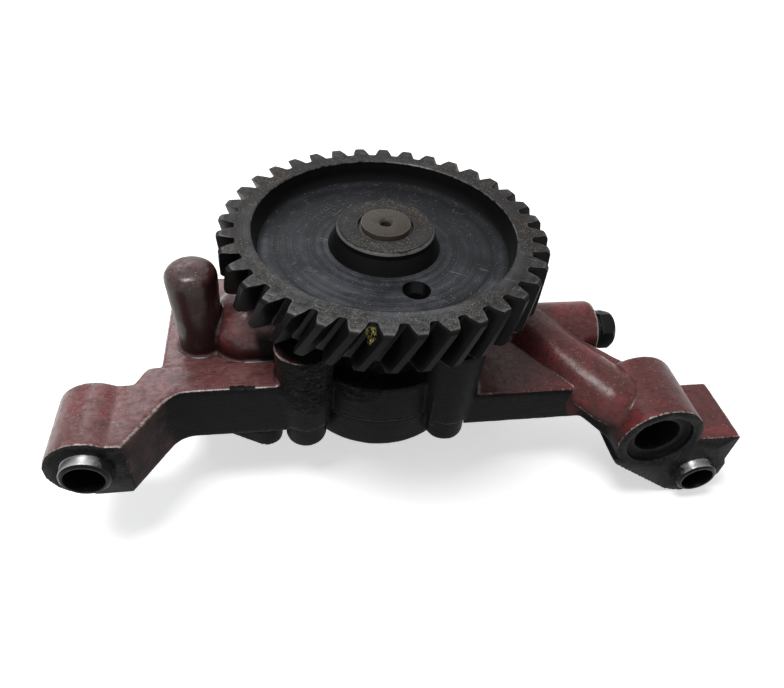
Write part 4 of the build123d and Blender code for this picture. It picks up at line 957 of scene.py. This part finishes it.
gearMesh = runTree("gearWork", makeGearTree(), makeWedge(), {
    "Teeth": gear["teeth"], "Centre": gearAxis, "Hole radius": gear["holeRadius"],
    "Hole centre": (gearAxis[0] + gear["holeOrbit"] * math.cos(gear["holeAngle"]),
                    gearAxis[1] + gear["holeOrbit"] * math.sin(gear["holeAngle"]), gear["webMiddle"]),
    "Finish": finishes["gearSteel"],
})
openEdges = edited(gearMesh, turnOutwards)
shadeSharp(gearMesh)
addPiece("driveGearWheel", gearMesh, "drive", "drive_gear")
print("gear made,", len(gearMesh.polygons), "faces,", openEdges, "open edges, edge kept:",
      "edge" in gearMesh.attributes)


# turned and hexagonal pieces: CAD shapes with softened corners
def soften(node, name, body, width, cutters):
    mesh = mergedCopy(node)
    edited(mesh, lambda work: bmesh.ops.dissolve_limit(
        work, angle_limit=math.radians(0.6), verts=work.verts, edges=work.edges))
    for operation, form in cutters:
        cutter = addObject("cutter", bpy.data.meshes.new("cutter"))
        addTurned(cutter.data, *form)
        mesh = modified(mesh, "BOOLEAN", operation=operation, object=cutter, solver="EXACT")
        bpy.data.objects.remove(cutter)
    mesh = modified(mesh, "BEVEL", width=width, segments=2, limit_method="ANGLE",
                    angle_limit=math.radians(35), use_clamp_overlap=True)
    shadeSharp(mesh)
    addPiece(name, mesh, body, node)


# the shaft's end is turned down inside the hub, with a wide centre hole
shaftEnd = {"radius": 11.2 * mm, "outer": 16 * mm, "depth": 2.9 * mm, "cutHeight": 5 * mm,
            "hole": 3.5 * mm, "narrow": 0.7, "holeDepth": 9.0 * mm, "mouth": 1.1 * mm, "above": 1 * mm}
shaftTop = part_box("drive_shaft")[1].z
turnedDown = [(shaftEnd["radius"], 0.0), (shaftEnd["outer"], 0.0),
              (shaftEnd["outer"], shaftEnd["cutHeight"]), (shaftEnd["radius"], shaftEnd["cutHeight"]),
              (shaftEnd["radius"], 0.0)]
narrowR = shaftEnd["hole"] * shaftEnd["narrow"]
centreHole = [(0.0, 0.0), (narrowR, 0.0), (narrowR, shaftEnd["holeDepth"] - shaftEnd["mouth"]),
              (shaftEnd["hole"], shaftEnd["holeDepth"]),
              (shaftEnd["hole"], shaftEnd["holeDepth"] + shaftEnd["above"]),
              (0.0, shaftEnd["holeDepth"] + shaftEnd["above"])]
shaftCuts = [("DIFFERENCE", ((gearAxis[0], gearAxis[1], shaftTop - depth), (0, 0, 1), profile))
             for depth, profile in ((shaftEnd["depth"], turnedDown), (shaftEnd["holeDepth"], centreHole))]

# the plug's hexagon is rounded at its outer end: share of the head's radius, distance from the end
plugCone = [(1.3, 12 * mm), (1.02, 4.5 * mm), (1.0, 2.5 * mm), (0.84, 0.1 * mm), (0.0, 0.1 * mm)]
plugLow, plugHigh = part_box("relief_plug")
headRadius = (plugHigh.y - plugLow.y) / 2
plugRun = plugHigh.x - plugLow.x
coned = [(0.0, -1 * mm), (headRadius * plugCone[0][0], -1 * mm),
         *((headRadius * share, plugRun - back) for share, back in plugCone)]
plugCuts = [("INTERSECT", ((plugLow.x, valveAxis[1], valveAxis[2]), (1, 0, 0), coned))]

for row in (
    ("cover_bolts", "coverScrews", "root", 0.2 * mm, []),
    ("cover_washers", "coverWashers", "root", 0.12 * mm, []),
    ("left_mounting_sleeve", "leftSleeve", "root", 0.25 * mm, []),
    ("right_mounting_sleeve", "rightSleeve", "root", 0.25 * mm, []),
    ("drive_shaft", "driveShaftTurned", "drive", 0.2 * mm, shaftCuts),
    ("relief_plug", "reliefPlugHex", "root", 0.3 * mm, plugCuts),
):
    soften(*row)
print("turned pieces made")

# floor, light and camera
stage = {"size": 6.0, "floor": (0.92, 0.92, 0.92), "centre": (130 * mm, 70 * mm), "ambient": 0.17,
         "near": 0.30, "nearLift": 0.58, "far": 1.1, "farLift": 0.93}
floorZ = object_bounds()[0].z
half = stage["size"] / 2
floorMesh = bpy.data.meshes.new("floor")
floorMesh.from_pydata([(x * half, y * half, floorZ) for x, y in ((-1, -1), (1, -1), (1, 1), (-1, 1))],
                      [], [(0, 1, 2, 3)])
floor = addObject("floor", floorMesh)
tree, shader, coordinates = newFinish("floorPaint", {
    "Roughness": 0.9, "Base Color": (*stage["floor"], 1.0), "Emission Color": (1.0, 1.0, 1.0, 1.0),
})
paths = addNode(tree, "ShaderNodeLightPath").outputs
seen = most(tree, paths["Is Camera Ray"], paths["Is Glossy Ray"])
away = vectorCalc(tree, "DISTANCE", coordinates["Object"], (*stage["centre"], floorZ))
lift = ramp(tree, away, stage["near"], stage["far"], stage["nearLift"], stage["farLift"])
feed(tree, shader, {"Emission Strength": product(tree, seen, lift)})
setFinish(floor, "floorPaint")

world = bpy.data.worlds.new("studio")
scene.world = world
world.use_nodes = True
tree = world.node_tree
tree.nodes.clear()
paths = addNode(tree, "ShaderNodeLightPath").outputs
seen = most(tree, paths["Is Camera Ray"], paths["Is Glossy Ray"], paths["Is Transmission Ray"])
strength = addNode(tree, "ShaderNodeMix", {0: seen, 2: stage["ambient"], 3: 1.0},
                   data_type="FLOAT").outputs[0]
sky = addNode(tree, "ShaderNodeBackground", {"Color": (1.0, 1.0, 1.0, 1.0), "Strength": strength})
addNode(tree, "ShaderNodeOutputWorld", {"Surface": sky.outputs[0]})

lamps = {  # place, size, power, colour
    "keyLamp": ((-0.12, -0.02, 0.95), 0.36, 7.0, (1.0, 0.99, 0.98)),
    "backLamp": ((-0.14, 0.88, 0.68), 0.50, 2.2, (0.93, 0.96, 1.0)),
    "fillLamp": ((-0.55, -0.75, 0.55), 0.60, 0.4, (0.96, 0.98, 1.0)),
}
for name, (place, size, power, colour) in lamps.items():
    data = bpy.data.lights.new(name, "AREA")
    data.shape, data.size, data.energy, data.color = "SQUARE", size, power, colour
    lamp = addObject(name, data)
    lamp.location = place
    lamp.rotation_mode = "QUATERNION"
    lamp.rotation_quaternion = (Vector((*stage["centre"], 0.0)) - Vector(place)).to_track_quat("-Z", "Y")

camera = {
    "place": (84.08 * mm, -164.28 * mm, 221.61 * mm),
    "right": (0.98676, -0.14363, 0.07534),
    "down": (-0.04494, -0.68843, -0.72390),
    "lens": 29.096,
}
eye = addObject("camera", bpy.data.cameras.new("camera"))
right = Vector(camera["right"]).normalized()
back = right.cross(-Vector(camera["down"])).normalized()
up = back.cross(right)
eye.matrix_world = Matrix.Translation(camera["place"]) @ Matrix((right, up, back)).transposed().to_4x4()
eye.data.lens = camera["lens"]
eye.data.sensor_width = 36.0
eye.data.clip_start = 0.01
scene.camera = eye
scene.view_settings.view_transform = "Standard"
print("stage set")
